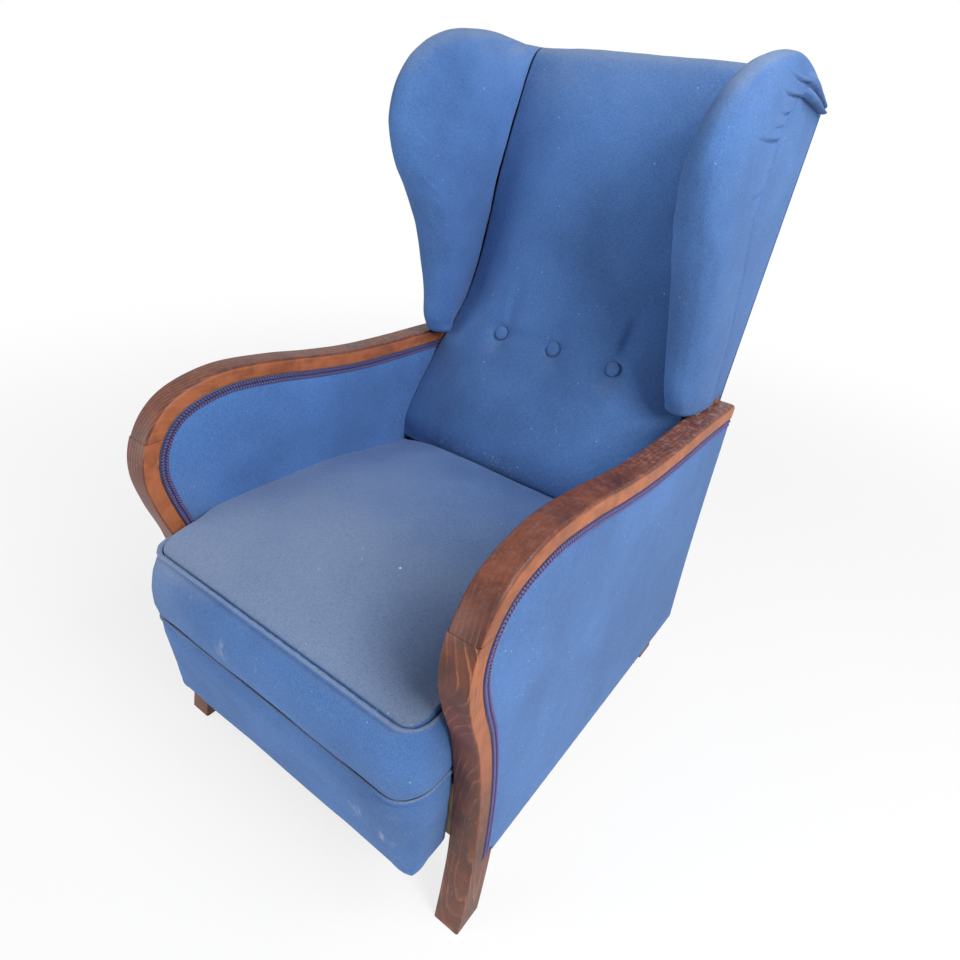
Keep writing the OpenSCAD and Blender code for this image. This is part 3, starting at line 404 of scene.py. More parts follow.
# Growth rings run round a line in the plank, which lies along the board
def makeStained(name, along, centre, tilt, lines):
    look = woodLook
    paint = Paint(name)
    where = paint.where
    sideways, _, up = paint.normalAxes()
    _, y, z = paint.axes(where)
    inputs = {"Vector": where, "Scale": (1, 1, 1), "Rotation": tilt, "Location": centre}
    plank = paint.node("ShaderNodeMapping", None, inputs)["Vector"]
    a, b, c = paint.axes(plank)
    other = c if along == "Y" else b
    span = (a * a + other * other).root() / look["ring"] + (paint.noise(plank, 7) - 0.5) * 3.2
    late = span.part().between(0.66, 0.93) * (1 - span.part().between(0.95, 1.0))

    def drawnOut(fine, coarse):
        return (fine, coarse, fine) if along == "Y" else (fine, fine, coarse)

    fibre = paint.strands(where, drawnOut(420, 14), 4, 0.65)
    fleck = paint.strands(where, drawnOut(900, 120), 2)
    cloudy = paint.noise(where, 22, 4, 0.6, 0.6)
    colour = paint.blend((cloudy * 1.3 + fibre * 0.4 - 0.35).between(0.15, 0.85), look["dark"], look["mid"])
    strength = paint.noise(where, 9, 2).between(0.42, 0.62) * 0.8 + 0.1
    colour = paint.blend(late * strength * fibre.between(0.25, 0.6) * lines, colour, look["line"])
    colour = paint.blend(fleck.between(0.54, 0.68) * 0.5, colour, look["dark"])
    # the narrow sides are lighter and more orange, except low on the leg
    side = sideways.size().between(0.72, 0.97) * z.between(0.16, 0.44)
    colour = paint.blend(side * (fibre * 0.4 + cloudy.between(0.35, 0.65) * 0.35 + 0.25), colour, look["side"])
    # fine pale scratches on the lower leg
    scratch = paint.strands(where, (700, 700, 60), 2, turn=(0.0, 0.6, 0.0)).between(0.62, 0.7)
    colour = paint.blend(scratch * (0.36 - z).between(0, 0.2) * 0.5, colour, look["line"])
    # dust and rubbed stain on the level stretches
    level = up.between(0.5, 0.92) * (y.between(-0.2, 0.3) * 0.8 + 0.2)
    rubbed = level * paint.noise(where, 110, 5, 0.75).between(0.46, 0.66)
    colour = paint.blend(rubbed * 0.6, colour, look["dust"])
    # a knock that took the stain off, and paler feet
    knock = (look["knockSize"] - paint.away(look["knock"])).between(0, 0.001)
    colour = paint.blend(knock, colour, look["bare"])
    colour = paint.blend((0.16 - z).between(0, 0.12) * 0.3, colour, look["foot"])
    normal = paint.bump(fibre * 0.5 + late * 0.4 + fleck * 0.3, 0.3, 0.0005)
    return paint.finish(colour=colour, rough=cloudy * 0.2 + fibre * 0.14 + 0.36, normal=normal, coat=0.1,
                        coatRough=0.2, specular=0.28)


def makeBeech():
    paint = Paint("rawBeech")
    x, y, z = paint.axes(paint.where)
    rings = ((x * 90 + z * 60 + paint.noise(paint.where, 6, 2) * 9).sine() * 0.5 + 0.5) ** 3
    fleck = paint.strands(paint.where, (500, 110, 500), 2)
    # the beech colours are darkened: partly the wood's own tone, partly painted shade for the gap between panel and
    # leg where the frame shows
    colour = paint.blend(rings * 0.6, (0.40, 0.27, 0.155), (0.27, 0.165, 0.09))
    colour = paint.blend(fleck.between(0.56, 0.7) * 0.5, colour, (0.30, 0.17, 0.09))
    return paint.finish(colour=colour, rough=fleck * 0.2 + 0.6, normal=paint.bump(fleck, 0.3, 0.0004))


def makeJute():
    paint = Paint("juteWeave")
    x, y, z = paint.axes(paint.where)
    weave = paint.weave(x, y + z, 0.0026)
    patch = paint.noise(paint.where, 45)
    colour = paint.blend(patch, (0.42, 0.29, 0.15), (0.58, 0.44, 0.26))
    colour = paint.blend((1 - weave) * 0.5, colour, (0.2, 0.13, 0.06))
    return paint.finish(colour=colour, rough=patch * 0.1 + 0.85, normal=paint.bump(weave, 0.6, 0.0008))


def makeSteel():
    paint = Paint("springSteel")
    oil = paint.noise(paint.where, 55, 4)
    rust = paint.noise(paint.where, 160, 4, 0.7).between(0.6, 0.75)
    colour = paint.blend(oil, (0.20, 0.20, 0.21), (0.42, 0.42, 0.43))
    colour = paint.blend(rust * 0.6, colour, (0.22, 0.10, 0.05))
    return paint.finish(colour=colour, rough=oil * 0.25 + 0.3, metal=1 - rust * 0.7,
                        normal=paint.bump(oil, 0.1, 0.0003))


def makeLining():
    paint = Paint("blackLining")
    x, y, _ = paint.axes(paint.where)
    weave = paint.weave(x, y, 0.0014)
    dust = paint.noise(paint.where, 30, 4, 0.6).between(0.4, 0.75)
    colour = paint.blend(dust * 0.35, (0.022, 0.022, 0.024), (0.12, 0.115, 0.105))
    return paint.finish(colour=colour, rough=weave * 0.08 + 0.85, normal=paint.bump(weave, 0.4, 0.0005))


def makeThread():
    paint = Paint("braidThread")
    strand = paint.strands(paint.where, (900, 900, 900), 3, 0.6)
    patch = paint.noise(paint.where, 24)
    colour = paint.blend(strand.between(0.3, 0.7), (0.014, 0.010, 0.060), (0.070, 0.056, 0.230))
    colour = paint.blend(patch.between(0.45, 0.8) * 0.2, colour, (0.12, 0.10, 0.34))
    # painted highlight on the loops' crowns and painted shade in the hollows between them
    crown = paint.axes(paint.flat)[0]
    colour = paint.blend(crown.between(0.55, 1) * 0.4, colour, (0.15, 0.125, 0.42))
    colour = paint.blend((0.62 - crown).between(0, 0.45) * 0.85, colour, (0.006, 0.005, 0.022))
    return paint.finish(colour=colour, rough=strand * 0.2 + 0.6, normal=paint.bump(strand, 0.4, 0.0004),
                        sheen=0.3)


blueCloth = makeCloth()
armWood = makeStained("armWood", "Y", (0.02, 0.1, -0.452), (0.1, 0.0, 0.02), 0.42)
legWood = makeStained("legWood", "Z", (-0.29, 0.36, 0), (0.05, -0.06, 0), 0.8)
postWood = makeStained("postWood", "Z", (-0.2, -0.2, 0), (0.2, 0.05, 0), 0.6)
jute = makeJute()
lining = makeLining()
braidThread = makeThread()
slotMaterials = {"show_wood": armWood, "frame_wood": makeBeech(), "cover_cloth": blueCloth,
                 "braid": braidThread, "jute": jute, "wadding": jute, "lining": lining,
                 "spring_steel": makeSteel()}
for part in frame["record"]["subparts"]:
    mesh = nodes[part["node"]].data
    mesh.materials.clear()
    mesh.materials.append(slotMaterials[part["material_slot"]])
print("materials ready")


def deselectAll():
    if bpy.context.object and bpy.context.object.mode != "OBJECT":
        bpy.ops.object.mode_set(mode="OBJECT")
    bpy.ops.object.select_all(action="DESELECT")


def pick(*pieces):
    deselectAll()
    for piece in pieces:
        piece.select_set(True)
    bpy.context.view_layer.objects.active = pieces[0]


def joinPieces(pieces, name):
    pick(*pieces)
    bpy.ops.object.join()
    pieces[0].name = name
    return pieces[0]


# Fits a finished piece into the frame
def hand(piece, material, slot, *stands):
    piece.data.materials.clear()
    piece.data.materials.append(material)
    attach(piece, "root")
    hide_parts(*stands)


def faceOutwards(piece, merge=0):
    pick(piece)
    bpy.ops.object.mode_set(mode="EDIT")
    bpy.ops.mesh.select_all(action="SELECT")
    if merge:
        bpy.ops.mesh.remove_doubles(threshold=merge)
    bpy.ops.mesh.normals_make_consistent(inside=False)
    bpy.ops.object.mode_set(mode="OBJECT")
    return piece


def pointsOf(piece):
    found = np.empty(len(piece.data.vertices) * 3)
    piece.data.vertices.foreach_get("co", found)
    return found.reshape(-1, 3)


def setPoints(piece, points):
    piece.data.vertices.foreach_set("co", points.ravel())
    piece.data.update()


def layFlat(mesh, flat):        # the cut of the cloth, as its texture map
    index = np.empty(len(mesh.loops), int)
    mesh.loops.foreach_get("vertex_index", index)
    mesh.uv_layers[0].data.foreach_set("uv", np.asarray(flat, float)[index].ravel())


def meshPiece(name, points, faces, flat):
    mesh = bpy.data.meshes.new(name)
    mesh.from_pydata([tuple(p) for p in points - (0, midY, 0)], [], faces)
    mesh.uv_layers.new(name="cut")
    layFlat(mesh, flat)
    piece = bpy.data.objects.new(name, mesh)
    scene.collection.objects.link(piece)
    mesh.shade_smooth()
    return faceOutwards(piece)


# Lengths along a grid's rows and columns, so that the weave keeps its scale
def gridLengths(grid):
    steps = np.linalg.norm(np.diff(grid, axis=1), axis=2)
    across = np.concatenate([np.zeros((grid.shape[0], 1)), np.cumsum(steps, 1)], 1)
    across -= across[:, across.shape[1] // 2][:, None]
    along = lengthsOf(grid[:, grid.shape[1] // 2])
    return np.stack([across, np.repeat(along[:, None], grid.shape[1], 1)], 2).reshape(-1, 2)


# A closed pad between two grids of points
def padPiece(name, front, rear):
    rows, cols = front.shape[:2]
    count = rows * cols
    place = np.arange(count).reshape(rows, cols)
    a, b, c, d = (q.ravel() for q in (place[:-1, :-1], place[:-1, 1:], place[1:, 1:], place[1:, :-1]))
    faces = [tuple(f) for f in np.stack([a, b, c, d], 1)]
    faces += [tuple(f) for f in np.stack([d, c, b, a], 1) + count]
    rim = list(place[0]) + list(place[1:, -1]) + list(place[-1, -2::-1]) + list(place[-2:0:-1, 0])
    for edge, following in zip(rim, rim[1:] + rim[:1]):
        faces.append((edge, edge + count, following + count, following))
    lengths = gridLengths(front)
    points = np.vstack([front.reshape(-1, 3), rear.reshape(-1, 3)])
    return meshPiece(name, points, faces, np.vstack([lengths, lengths + 1.0]))


# A closed sleeve through rings of points
def sleevePiece(name, rings):
    count, around = rings.shape[:2]
    place = np.arange(count * around).reshape(count, around)
    following = np.roll(place, -1, 1)
    corners = (place[:-1], following[:-1], following[1:], place[1:])
    faces = [tuple(f) for f in np.stack([c.ravel() for c in corners], 1)]
    faces += [tuple(place[0][::-1]), tuple(place[-1])]
    return meshPiece(name, rings.reshape(-1, 3), faces, gridLengths(rings))


# Points of a grid that are sewn down: all but its free middle, and its whole rear side
def sewnPoints(free, rear=True):
    return np.concatenate([np.flatnonzero(~free), np.arange(free.size, free.size * 2 if rear else free.size)])


# Blows a pad up against its sewn edges with cloth, and holds how far a point may move
def puff(piece, sewn, look):
    before = pointsOf(piece)
    group = piece.vertex_groups.new(name="sewn")
    group.add([int(i) for i in sewn], 1.0, "REPLACE")
    pick(piece)
    bpy.ops.object.modifier_add(type="CLOTH")
    cloth = piece.modifiers[-1]
    cloth.settings.vertex_group_mass = "sewn"
    cloth.settings.use_pressure = True
    cloth.settings.uniform_pressure_force = look["pressure"]
    cloth.settings.effector_weights.gravity = 0
    cloth.settings.quality = 4
    cloth.collision_settings.use_collision = False
    cloth.point_cache.frame_end = look["frames"]
    for step in range(1, look["frames"] + 1):
        scene.frame_set(step)
    bpy.ops.object.modifier_apply(modifier=cloth.name)
    scene.frame_set(1)
    moved = pointsOf(piece) - before
    far = np.linalg.norm(moved, axis=1)[:, None] + 1e-9
    setPoints(piece, before + moved / far * look["reach"] * np.tanh(far / look["reach"]))
    piece.vertex_groups.clear()
    print(piece.name, "moved", round(float(far.max()) * 1000, 1), "mm before its hold")


pleatLook = {"bend": 0.0035, "ridge": 0.55, "ridgeAway": 1.9, "ridgeWide": 1.5, "gain": 1.3}


# A pleat that starts at a seam and dies out: a fine hollow with a soft ridge above it
def pleat(flat, start, end, width, depth):
    start, end = np.array(start), np.array(end)
    run = end - start
    long = np.linalg.norm(run)
    t = ((flat - start) @ run) / long ** 2
    off = ((flat - start) @ np.array([run[1], -run[0]])) / long + pleatLook["bend"] * np.sin(t * 2.6)
    fade = smooth((1.05 - t) / 0.7) * smooth((t + 0.06) / 0.05)
    ridge = pleatLook["ridge"] * bell(off - pleatLook["ridgeAway"] * width, pleatLook["ridgeWide"] * width)
    return pleatLook["gain"] * depth * fade * (ridge - bell(off, width))


def ripple(points, scale, seed, height):
    shift = Vector((seed, seed * 2, 0))
    return np.array([noise.noise(Vector(p * scale) + shift) for p in points]) * height


# Broad and fine unevenness, each with its scale, seed and height
def lumps(points, broad, fine, tall=1):
    return ripple(points * (1, 1, tall), *broad) + ripple(points, *fine)


def normalsOf(piece):
    normals = np.empty(len(piece.data.vertices) * 3)
    piece.data.vertices.foreach_get("normal", normals)
    return normals.reshape(-1, 3)


def alongNormals(piece, amounts):
    setPoints(piece, pointsOf(piece) + normalsOf(piece) * amounts[:, None])


def refine(piece):
    pick(piece)
    bpy.ops.object.modifier_add(type="SUBSURF")
    piece.modifiers[-1].levels = piece.modifiers[-1].render_levels = 1
    bpy.ops.object.modifier_apply(modifier=piece.modifiers[-1].name)


boards = {
    "round": 0.0062, "legRound": 0.0032, "postRound": 0.003, "easing": 0.0009, "turns": 7, "smoothAngle": 35,
    "bevel": 0.0006, "postBevel": 0.0008, "bevelAngle": 50, "stations": 190, "postStations": 120, "merge": 0.00001,
    "armEnd": 0.55, "leanFrom": 0.5, "leanTo": 0.62, "jointGap": 0.00012, "innerCutFrom": 0.301,
}


def flatCurve(points, closed=False):
    bpy.ops.curve.primitive_bezier_curve_add()
    curve = bpy.context.object
    curve.data.dimensions = "2D"
    curve.data.splines.clear()
    line = curve.data.splines.new("POLY")
    line.points.add(len(points) - 1)
    for point, (x, y) in zip(line.points, points):
        point.co = (x, y, 0, 1)
    line.use_cyclic_u = closed
    return curve


# A sawn board: its section swept along its line
def sweepBoard(name, line, section):
    outline = flatCurve([(-depth, x) for x, depth in section], True)
    board = flatCurve([(y - midY, z) for y, z in line])
    board.name = name
    board.data.fill_mode = "NONE"
    board.data.bevel_mode = "OBJECT"
    board.data.bevel_object = outline
    board.data.use_fill_caps = True
    pick(board)
    bpy.ops.object.convert(target="MESH")
    board = bpy.context.object
    board.matrix_world = Matrix(((0, 0, 1, 0), (1, 0, 0, 0), (0, 1, 0, 0), (0, 0, 0, 1)))
    bpy.ops.object.transform_apply(location=True, rotation=True, scale=True)
    bpy.data.objects.remove(outline)
    return faceOutwards(board, boards["merge"])


# Cuts a board with a plane and takes off the side that the normal points to
def sawOff(board, place, normal, inside=None):
    pick(board)
    bpy.ops.object.mode_set(mode="EDIT")
    bpy.ops.mesh.select_all(action="DESELECT")
    bpy.ops.mesh.select_mode(type="VERT")
    bpy.ops.object.mode_set(mode="OBJECT")
    for vertex in board.data.vertices:
        vertex.select = inside is None or inside(vertex.co)
    bpy.ops.object.mode_set(mode="EDIT")
    bpy.ops.mesh.select_mode(type="FACE")
    bpy.ops.mesh.bisect(plane_co=place, plane_no=normal, use_fill=True, clear_outer=True, threshold=0.00002)
    bpy.ops.mesh.select_mode(type="VERT")
    bpy.ops.object.mode_set(mode="OBJECT")


# Section of a board: rounded on its shown edges, and cut back for the cloth and the braid
def boardSection(inner, outer, rounding, cutInner, cutOuter, depth):
    corner = [math.radians(90 * k / boards["turns"]) for k in range(boards["turns"] + 1)]
    easing, show = boards["easing"], chair["showDepth"]
    out = []
    if cutInner:
        out += [(inner + cutInner, depth), (inner + cutInner, show), (inner + easing, show), (inner, show - easing)]
    else:
        out += [(inner + easing, depth), (inner, depth - easing)]
    out += [(inner + rounding * (1 - math.cos(a)), rounding * (1 - math.sin(a))) for a in corner]
    out += [(outer - rounding * (1 - math.sin(a)), rounding * (1 - math.cos(a))) for a in corner]
    if cutOuter:
        out += [(outer, show - easing), (outer - easing, show), (outer - cutOuter, show), (outer - cutOuter, depth)]
    else:
        out += [(outer, depth - easing), (outer - easing, depth)]
    return out


def easeEdges(board, width):
    pick(board)
    bpy.ops.object.modifier_add(type="BEVEL")
    bevel = board.modifiers[-1]
    bevel.width = width
    bevel.segments = 2
    bevel.limit_method = "ANGLE"
    bevel.angle_limit = math.radians(boards["bevelAngle"])
    bpy.ops.object.modifier_apply(modifier=bevel.name)
    bpy.ops.object.shade_smooth_by_angle(angle=math.radians(boards["smoothAngle"]))


# Hands over the right board and its mirrored copy
def handBoards(piece, wood, node):
    pick(piece)
    bpy.ops.object.duplicate()
    other = bpy.context.object
    other.name = piece.name.replace("Right", "Left")
    other.scale.x = -1
    bpy.ops.object.transform_apply(location=False, rotation=False, scale=True)
    bpy.ops.object.mode_set(mode="EDIT")
    bpy.ops.mesh.select_all(action="SELECT")
    bpy.ops.mesh.flip_normals()
    bpy.ops.object.mode_set(mode="OBJECT")
    hand(piece, wood, "show_wood", node + "_right")
    hand(other, wood, "show_wood", node + "_left")


def makeArms():
    inner, outer = chair["innerHalf"], chair["innerHalf"] + chair["armWidth"]
    cut, depth, joint = chair["rebate"], chair["boardDepth"], chair["jointHeight"]
    section = boardSection(inner, outer, boards["round"], cut, cut, depth)
    arm = sweepBoard("armRight", evenly(armLine[:150], boards["stations"]), section)
    low, high, end = boards["leanFrom"], boards["leanTo"], boards["armEnd"]
    lean = Vector((0, high - low, -(rearY(high) - rearY(low)))).normalized()
    sawOff(arm, (0, rearY(end) - midY, end), lean)
    sawOff(arm, (0, 0, joint + boards["jointGap"]), (0, 0, -1), lambda co: co.y + midY < chair["armLength"] / 4)
    easeEdges(arm, boards["bevel"])
    parts = []
    legLow, cutLow, top = chair["legLow"], boards["innerCutFrom"], joint - boards["jointGap"]
    stretches = ((0, legLow, 0, 0), (legLow, cutLow, 0, cut), (cutLow, top, cut, cut))
    for low, high, cutInner, cutOuter in stretches:
        section = boardSection(inner, outer, boards["legRound"], cutInner, cutOuter, depth)
        part = sweepBoard("legPart", evenly(armLine[96:], boards["stations"]), section)
        sawOff(part, (0, 0, low), (0, 0, -1))
        sawOff(part, (0, 0, high), (0, 0, 1))
        parts.append(part)
    leg = joinPieces(parts, "frontLegRight")
    easeEdges(leg, boards["bevel"])
    handBoards(arm, armWood, "arm")
    handBoards(leg, legWood, "front_leg")


def makePosts():
    section = boardSection(chair["postInner"], chair["postOuter"], boards["postRound"], 0, 0, chair["postDepth"])
    post = sweepBoard("backPostRight", evenly(rearLine, boards["postStations"]), section)
    low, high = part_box("back_post_right")
    sawOff(post, (0, 0, low.z), (0, 0, -1))
    sawOff(post, (0, 0, high.z), (0, 0, 1))
    easeEdges(post, boards["postBevel"])
    handBoards(post, postWood, "back_post")


makeArms()
makePosts()
print("boards ready")


# The sprung seat. Rise, edge and drop are shares of crown and fall, from its front to its rear.
seat = {
    "boxGap": 0.016, "corner": 0.028, "crown": 0.03, "fall": 0.028, "tuck": 0.019, "deck": 0.339, "draw": 0.985,
    "rows": 70, "columns": 81, "pressure": 3.5, "frames": 14, "reach": 0.004,
    "broad": (11, 3.1, 0.0016), "fine": (34, 8.4, 0.0005),
    "rise": [(0, 0), (0.07, 0.42), (0.18, 0.8), (0.3, 1), (0.5, 0.85), (0.75, 0.5), (1, 0.16)],
    "edge": [(0, 0), (0.07, 0.35), (0.12, 0.5), (0.3, 0.42), (0.54, 0.23), (0.68, 0), (1, 0)],
    "drop": [(0.66, 0), (0.72, 0.11), (0.93, 0.93), (1, 1)],
}
boxHalf = chair["innerHalf"] - seat["boxGap"]


def seatHalf(y):
    run = np.maximum(0, seat["corner"] - chair["overhang"] - y)
    front = boxHalf - seat["corner"] + np.sqrt(np.maximum(0, seat["corner"] ** 2 - run ** 2))
    wide = chair["innerHalf"] - chair["rebate"] - boxHalf
    return front + wide * smooth((y - chair["boardDepth"] * 0.7) / chair["boardDepth"])


def softened(pairs, t):         # the same rise without its corners
    return sum(lookup(np.clip(t + step, 0, 1), pairs) * 0.2 for step in (-0.05, -0.02, 0, 0.02, 0.05))


def makeSeat():
    v = np.linspace(0, 1, seat["rows"]) ** 1.15
    u = mix(bunched(seat["columns"]), np.linspace(-1, 1, seat["columns"]), 0.3)
    vv, uu = np.meshgrid(v, u, indexing="ij")
    y = mix(-chair["overhang"], chair["seatRear"] + seat["tuck"] * uu ** 2, vv)
    near = smooth(vv / 0.1)
    middle = seat["crown"] * mix(lookup(vv, seat["rise"]), softened(seat["rise"], vv), near)
    edge = seat["crown"] * mix(lookup(vv, seat["edge"]), softened(seat["edge"], vv), near)
    edge = edge - seat["fall"] * softened(seat["drop"], vv)
    z = chair["seatHeight"] + mix(edge, middle, 1 - np.abs(uu) ** 3)
    top = np.stack([uu * seatHalf(y), y, z], 2)
    under = top.copy()
    under[..., 2] = seat["deck"]
    under[..., :2] *= seat["draw"]
    piece = padPiece("seatCushion", top, under)
    free = np.zeros(uu.shape, bool)
    free[2:-1, 1:-1] = True
    puff(piece, sewnPoints(free), seat)
    lump = lumps(pointsOf(piece), seat["broad"], seat["fine"])
    lump[uu.size:] = 0
    lump[:uu.size] *= np.minimum(1, np.minimum(vv, 0.5) * 12).ravel()
    alongNormals(piece, lump)
    refine(piece)
    hand(piece, blueCloth, "cover_cloth", "seat_cover", "seat_stuffing")


# Line round the front of the seat: place, how far the border swells there, and outward direction
def rimLine(count):
    half, corner, front = boxHalf, seat["corner"], -chair["overhang"]
    turns = np.linspace(0, 1, 19)
    a = turns * math.pi / 2
    arc = np.stack([half - corner + corner * np.sin(a), front + corner - corner * np.cos(a),
                    1 - 0.45 * smooth(turns), np.sin(a), -np.cos(a)], 1)
    straight = [[x, front, 1, 0, -1] for x in np.linspace(0, half - corner, 12)[:-1]]
    beyond = [[half, front + corner * k, 0.55, 1, 0] for k in (1.2, 1.4, 1.6, 1.8, 2.0, 2.2)]
    right = np.array(straight + arc.tolist() + beyond)
    left = right[:0:-1] * (-1, 1, 1, -1, 1)
    line = evenly(np.vstack([left, right]), count)
    line[:, 3:] = unit(line[:, 3:])
    return line


def rimPath(line, out, z):      # the rim line moved outwards, at a height
    return np.stack([line[:, 0] + out * line[:, 3], line[:, 1] + out * line[:, 4], z + 0 * out], 1)


# The border and the lower panel. Upper and lower are their swell from hem to top, as shares.
border = {
    "swell": 0.025, "clear": 0.001, "corner": 0.0095, "cord": 0.0035, "seam": 0.29, "low": 0.128,
    "columns": 220, "rows": 40, "hem": 0.0012, "pucker": 0.00035,
    "upper": [(0, 0.66), (0.03, 0.8), (0.08, 0.9), (0.25, 1), (0.5, 0.95), (0.75, 0.7), (0.9, 0.42),
              (0.97, 0.24), (1, 0.12)],
    "lower": [(0, 0.1), (0.02, 0.2), (0.05, 0.3), (0.45, 0.58), (0.85, 0.84), (0.96, 0.82), (1, 0.66)],
    "pressure": 3, "frames": 10, "reach": 0.002,
}


def makeBand(name, low, high, shares, sharpens, seed, node):
    line = rimLine(border["columns"])
    h = bunched(border["rows"]) * 0.5 + 0.5
    rows = []
    for share in h:
        out = border["clear"] + border["swell"] * line[:, 2] * lookup(share, shares)
        # the hem hangs a little unevenly, and the corners grow sharper toward it
        tall = mix(low, high, share) + (1 - share) * border["hem"] * np.sin(line[:, 0] * 31 + seed)
        sharp = np.minimum(np.abs(line[:, 3]), np.abs(line[:, 4])) / math.sqrt(0.5)
        push = sharp ** 1.6 * border["corner"] * (1 - share) ** 1.3 * sharpens
        rows.append(rimPath(line, out + push, tall))
    front = np.array(rows)
    back = np.array([[(p[0], p[1], z[2]) for p, z in zip(line, row)] for row in front])
    piece = padPiece(name, front, back)
    free = np.zeros(front.shape[:2], bool)
    free[2:-2, 2:-2] = True
    puff(piece, sewnPoints(free), border)
    share, across = np.repeat(h, len(line)), np.tile(line[:, 0], len(h))
    # short puckers run out from the seams
    pull = np.sin(across * 260 + np.sin(across * 47 + seed) * 3) * np.exp(-(1 - share) * 9) + \
        np.sin(across * 210 + np.sin(across * 39 + seed * 2) * 3) * np.exp(-share * 9)
    nothing = np.zeros(free.size)
    lump = lumps(pointsOf(piece), (16, seed, 0.0013), (45, seed + 4, 0.0005), 2.2)
    lump *= np.concatenate([np.sin(np.pi * share), nothing])
    alongNormals(piece, np.concatenate([pull * border["pucker"], nothing]) + lump)
    refine(piece)
    hand(piece, blueCloth, "cover_cloth", node)


# A round cord of cloth along a line, a little uneven by hand
def makeCord(name, line, radius, node):
    line = evenly(line, 260)
    run = unit(np.gradient(line, axis=0))
    level = unit(np.cross(run, (0, 0, 1)))
    raised = np.cross(level, run)
    turn = np.linspace(0, 2 * math.pi, 12, endpoint=False)[None, :, None]
    step = np.arange(len(line))
    wave = radius * (1 + 0.05 * np.sin(step * 0.9) + 0.04 * np.sin(step * 0.37))[:, None, None]
    rings = line[:, None] + wave * (np.cos(turn) * level[:, None] + np.sin(turn) * raised[:, None])
    hand(sleevePiece(name, rings), blueCloth, "cover_cloth", node)


def makePiping():
    line, radius = rimLine(300), border["cord"]
    out = np.full(len(line), radius + 0.0004)
    makeCord("seatPiping", rimPath(line, out, chair["seatHeight"]), radius, "seat_piping")
    out = border["clear"] + border["swell"] * 0.78 * line[:, 2]
    makeCord("panelPiping", rimPath(line, out, border["seam"]), radius * 0.8, "front_panel_piping")


makeSeat()
seam, cord = border["seam"], border["cord"]
makeBand("borderPad", seam + cord * 0.6, chair["seatHeight"] - cord * 0.7, border["upper"], 0, 1.3, "front_border")
makeBand("frontPanel", border["low"], seam - cord * 0.6, border["lower"], 1, 2.9, "front_panel")
makePiping()
print("seat ready")


# The buttoned back. Width and swell are shares, from its foot to its top.
back = {
    "tuck": 0.021, "crown": 0.042, "tuft": 0.014, "pitch": 0.116, "buttonWidth": 0.025, "buttonRow": 3.6,
    "columns": 121, "pressure": 3.5, "frames": 14, "reach": 0.004, "topRow": 10, "lastRow": 13, "postsTo": 0.953,
    "rowSteps": [(0, 3.1, 36), (3.1, 5.4, 96), (5.4, 13, 84)], "held": 0.006, "draw": 0.985,
    "broad": (9, 5.7, 0.002), "fine": (30, 1.9, 0.0006),
    "width": [(-0.047, 0.978), (0, 0.945), (0.106, 0.908), (0.204, 0.882), (0.337, 0.851), (0.494, 0.824),
              (0.633, 0.798), (0.81, 0.763), (1, 0.733)],
    "swell": [(0, 0.3), (0.04, 0.45), (0.18, 0.85), (0.33, 1), (0.5, 0.9), (0.65, 0.65), (0.8, 0.4),
              (0.93, 0.15), (1, 0.04)],
}
# The tufts, in metres: depths and spreads of the cup, the fold above it, the roll below and the
# hollow between, and how far each button's fold leans
tufts = {
    "cup": 0.0150, "cupFlat": 0.010, "cupSpread": 0.0165, "fold": 0.0115, "foldLong": 0.125, "foldSoft": 0.024,
    "foldSharp": 0.0085, "leans": (0.08, 0.1, 0.16), "below": 0.003, "belowAt": 0.024, "belowTall": 0.012,
    "belowWide": 0.03, "between": 0.0022,
}
backBase = (chair["seatRear"] + back["tuck"], chair["seatHeight"] - back["tuck"])
backPoints = placed(backShares, backBase, (chair["backReach"], chair["backHeight"]))
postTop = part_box("back_post_right")[1].z
backEnd = chair["backHeight"] * back["postsTo"]


def backHalf(z):
    return chair["innerHalf"] * lookup((z - armTopHeight) / (chair["backHeight"] - armTopHeight), back["width"])


def backOut(s):
    ahead = curveAt(backPoints, np.minimum(len(backPoints) - 1, s + 0.05))
    return leftOf(unit(ahead - curveAt(backPoints, np.maximum(0, s - 0.05))))


def bulge(u):
    return 1 - np.abs(u) ** 2.5


def buttonPlaces():
    s = np.array([back["buttonRow"]])
    place, out = curveAt(backPoints, s)[0], backOut(s)[0]
    level = (place[1] - backBase[1]) / (chair["backHeight"] - backBase[1])
    for x in (-back["pitch"], 0, back["pitch"]):
        u = x / float(backHalf(place[1]))
        step = back["crown"] * lookup(level, back["swell"]) * bulge(u) - back["tuft"]
        yield Vector((x, place[0] + out[0] * step - midY, place[1] + out[1] * step)), Vector((0, out[0], out[1]))


# How deep the cloth is drawn in at the buttons, with a fold that runs up from each
def tuft(x, z, buttonZ):
    depth = np.zeros_like(x)
    dz = z - buttonZ
    climb = dz / tufts["foldLong"]
    for button, lean in zip((-back["pitch"], 0, back["pitch"]), tufts["leans"]):
        dx = x - button
        cup = tufts["cup"] * np.exp(-np.maximum(0, np.hypot(dx, dz) - tufts["cupFlat"]) / tufts["cupSpread"])
        side = dx - lean * dz
        fold = bell(side, np.where(side > 0, tufts["foldSoft"], tufts["foldSharp"]))
        valley = tufts["fold"] * fold * (1 - smooth(climb)) * smooth(climb * 9)
        below = tufts["below"] * bell(dz + tufts["belowAt"], tufts["belowTall"]) * bell(dx, tufts["belowWide"])
        depth = np.maximum(depth, np.maximum(cup, valley)) + below
    return depth + tufts["between"] * bell(dz, 0.012) * (np.abs(x) < back["pitch"] * 1.25)


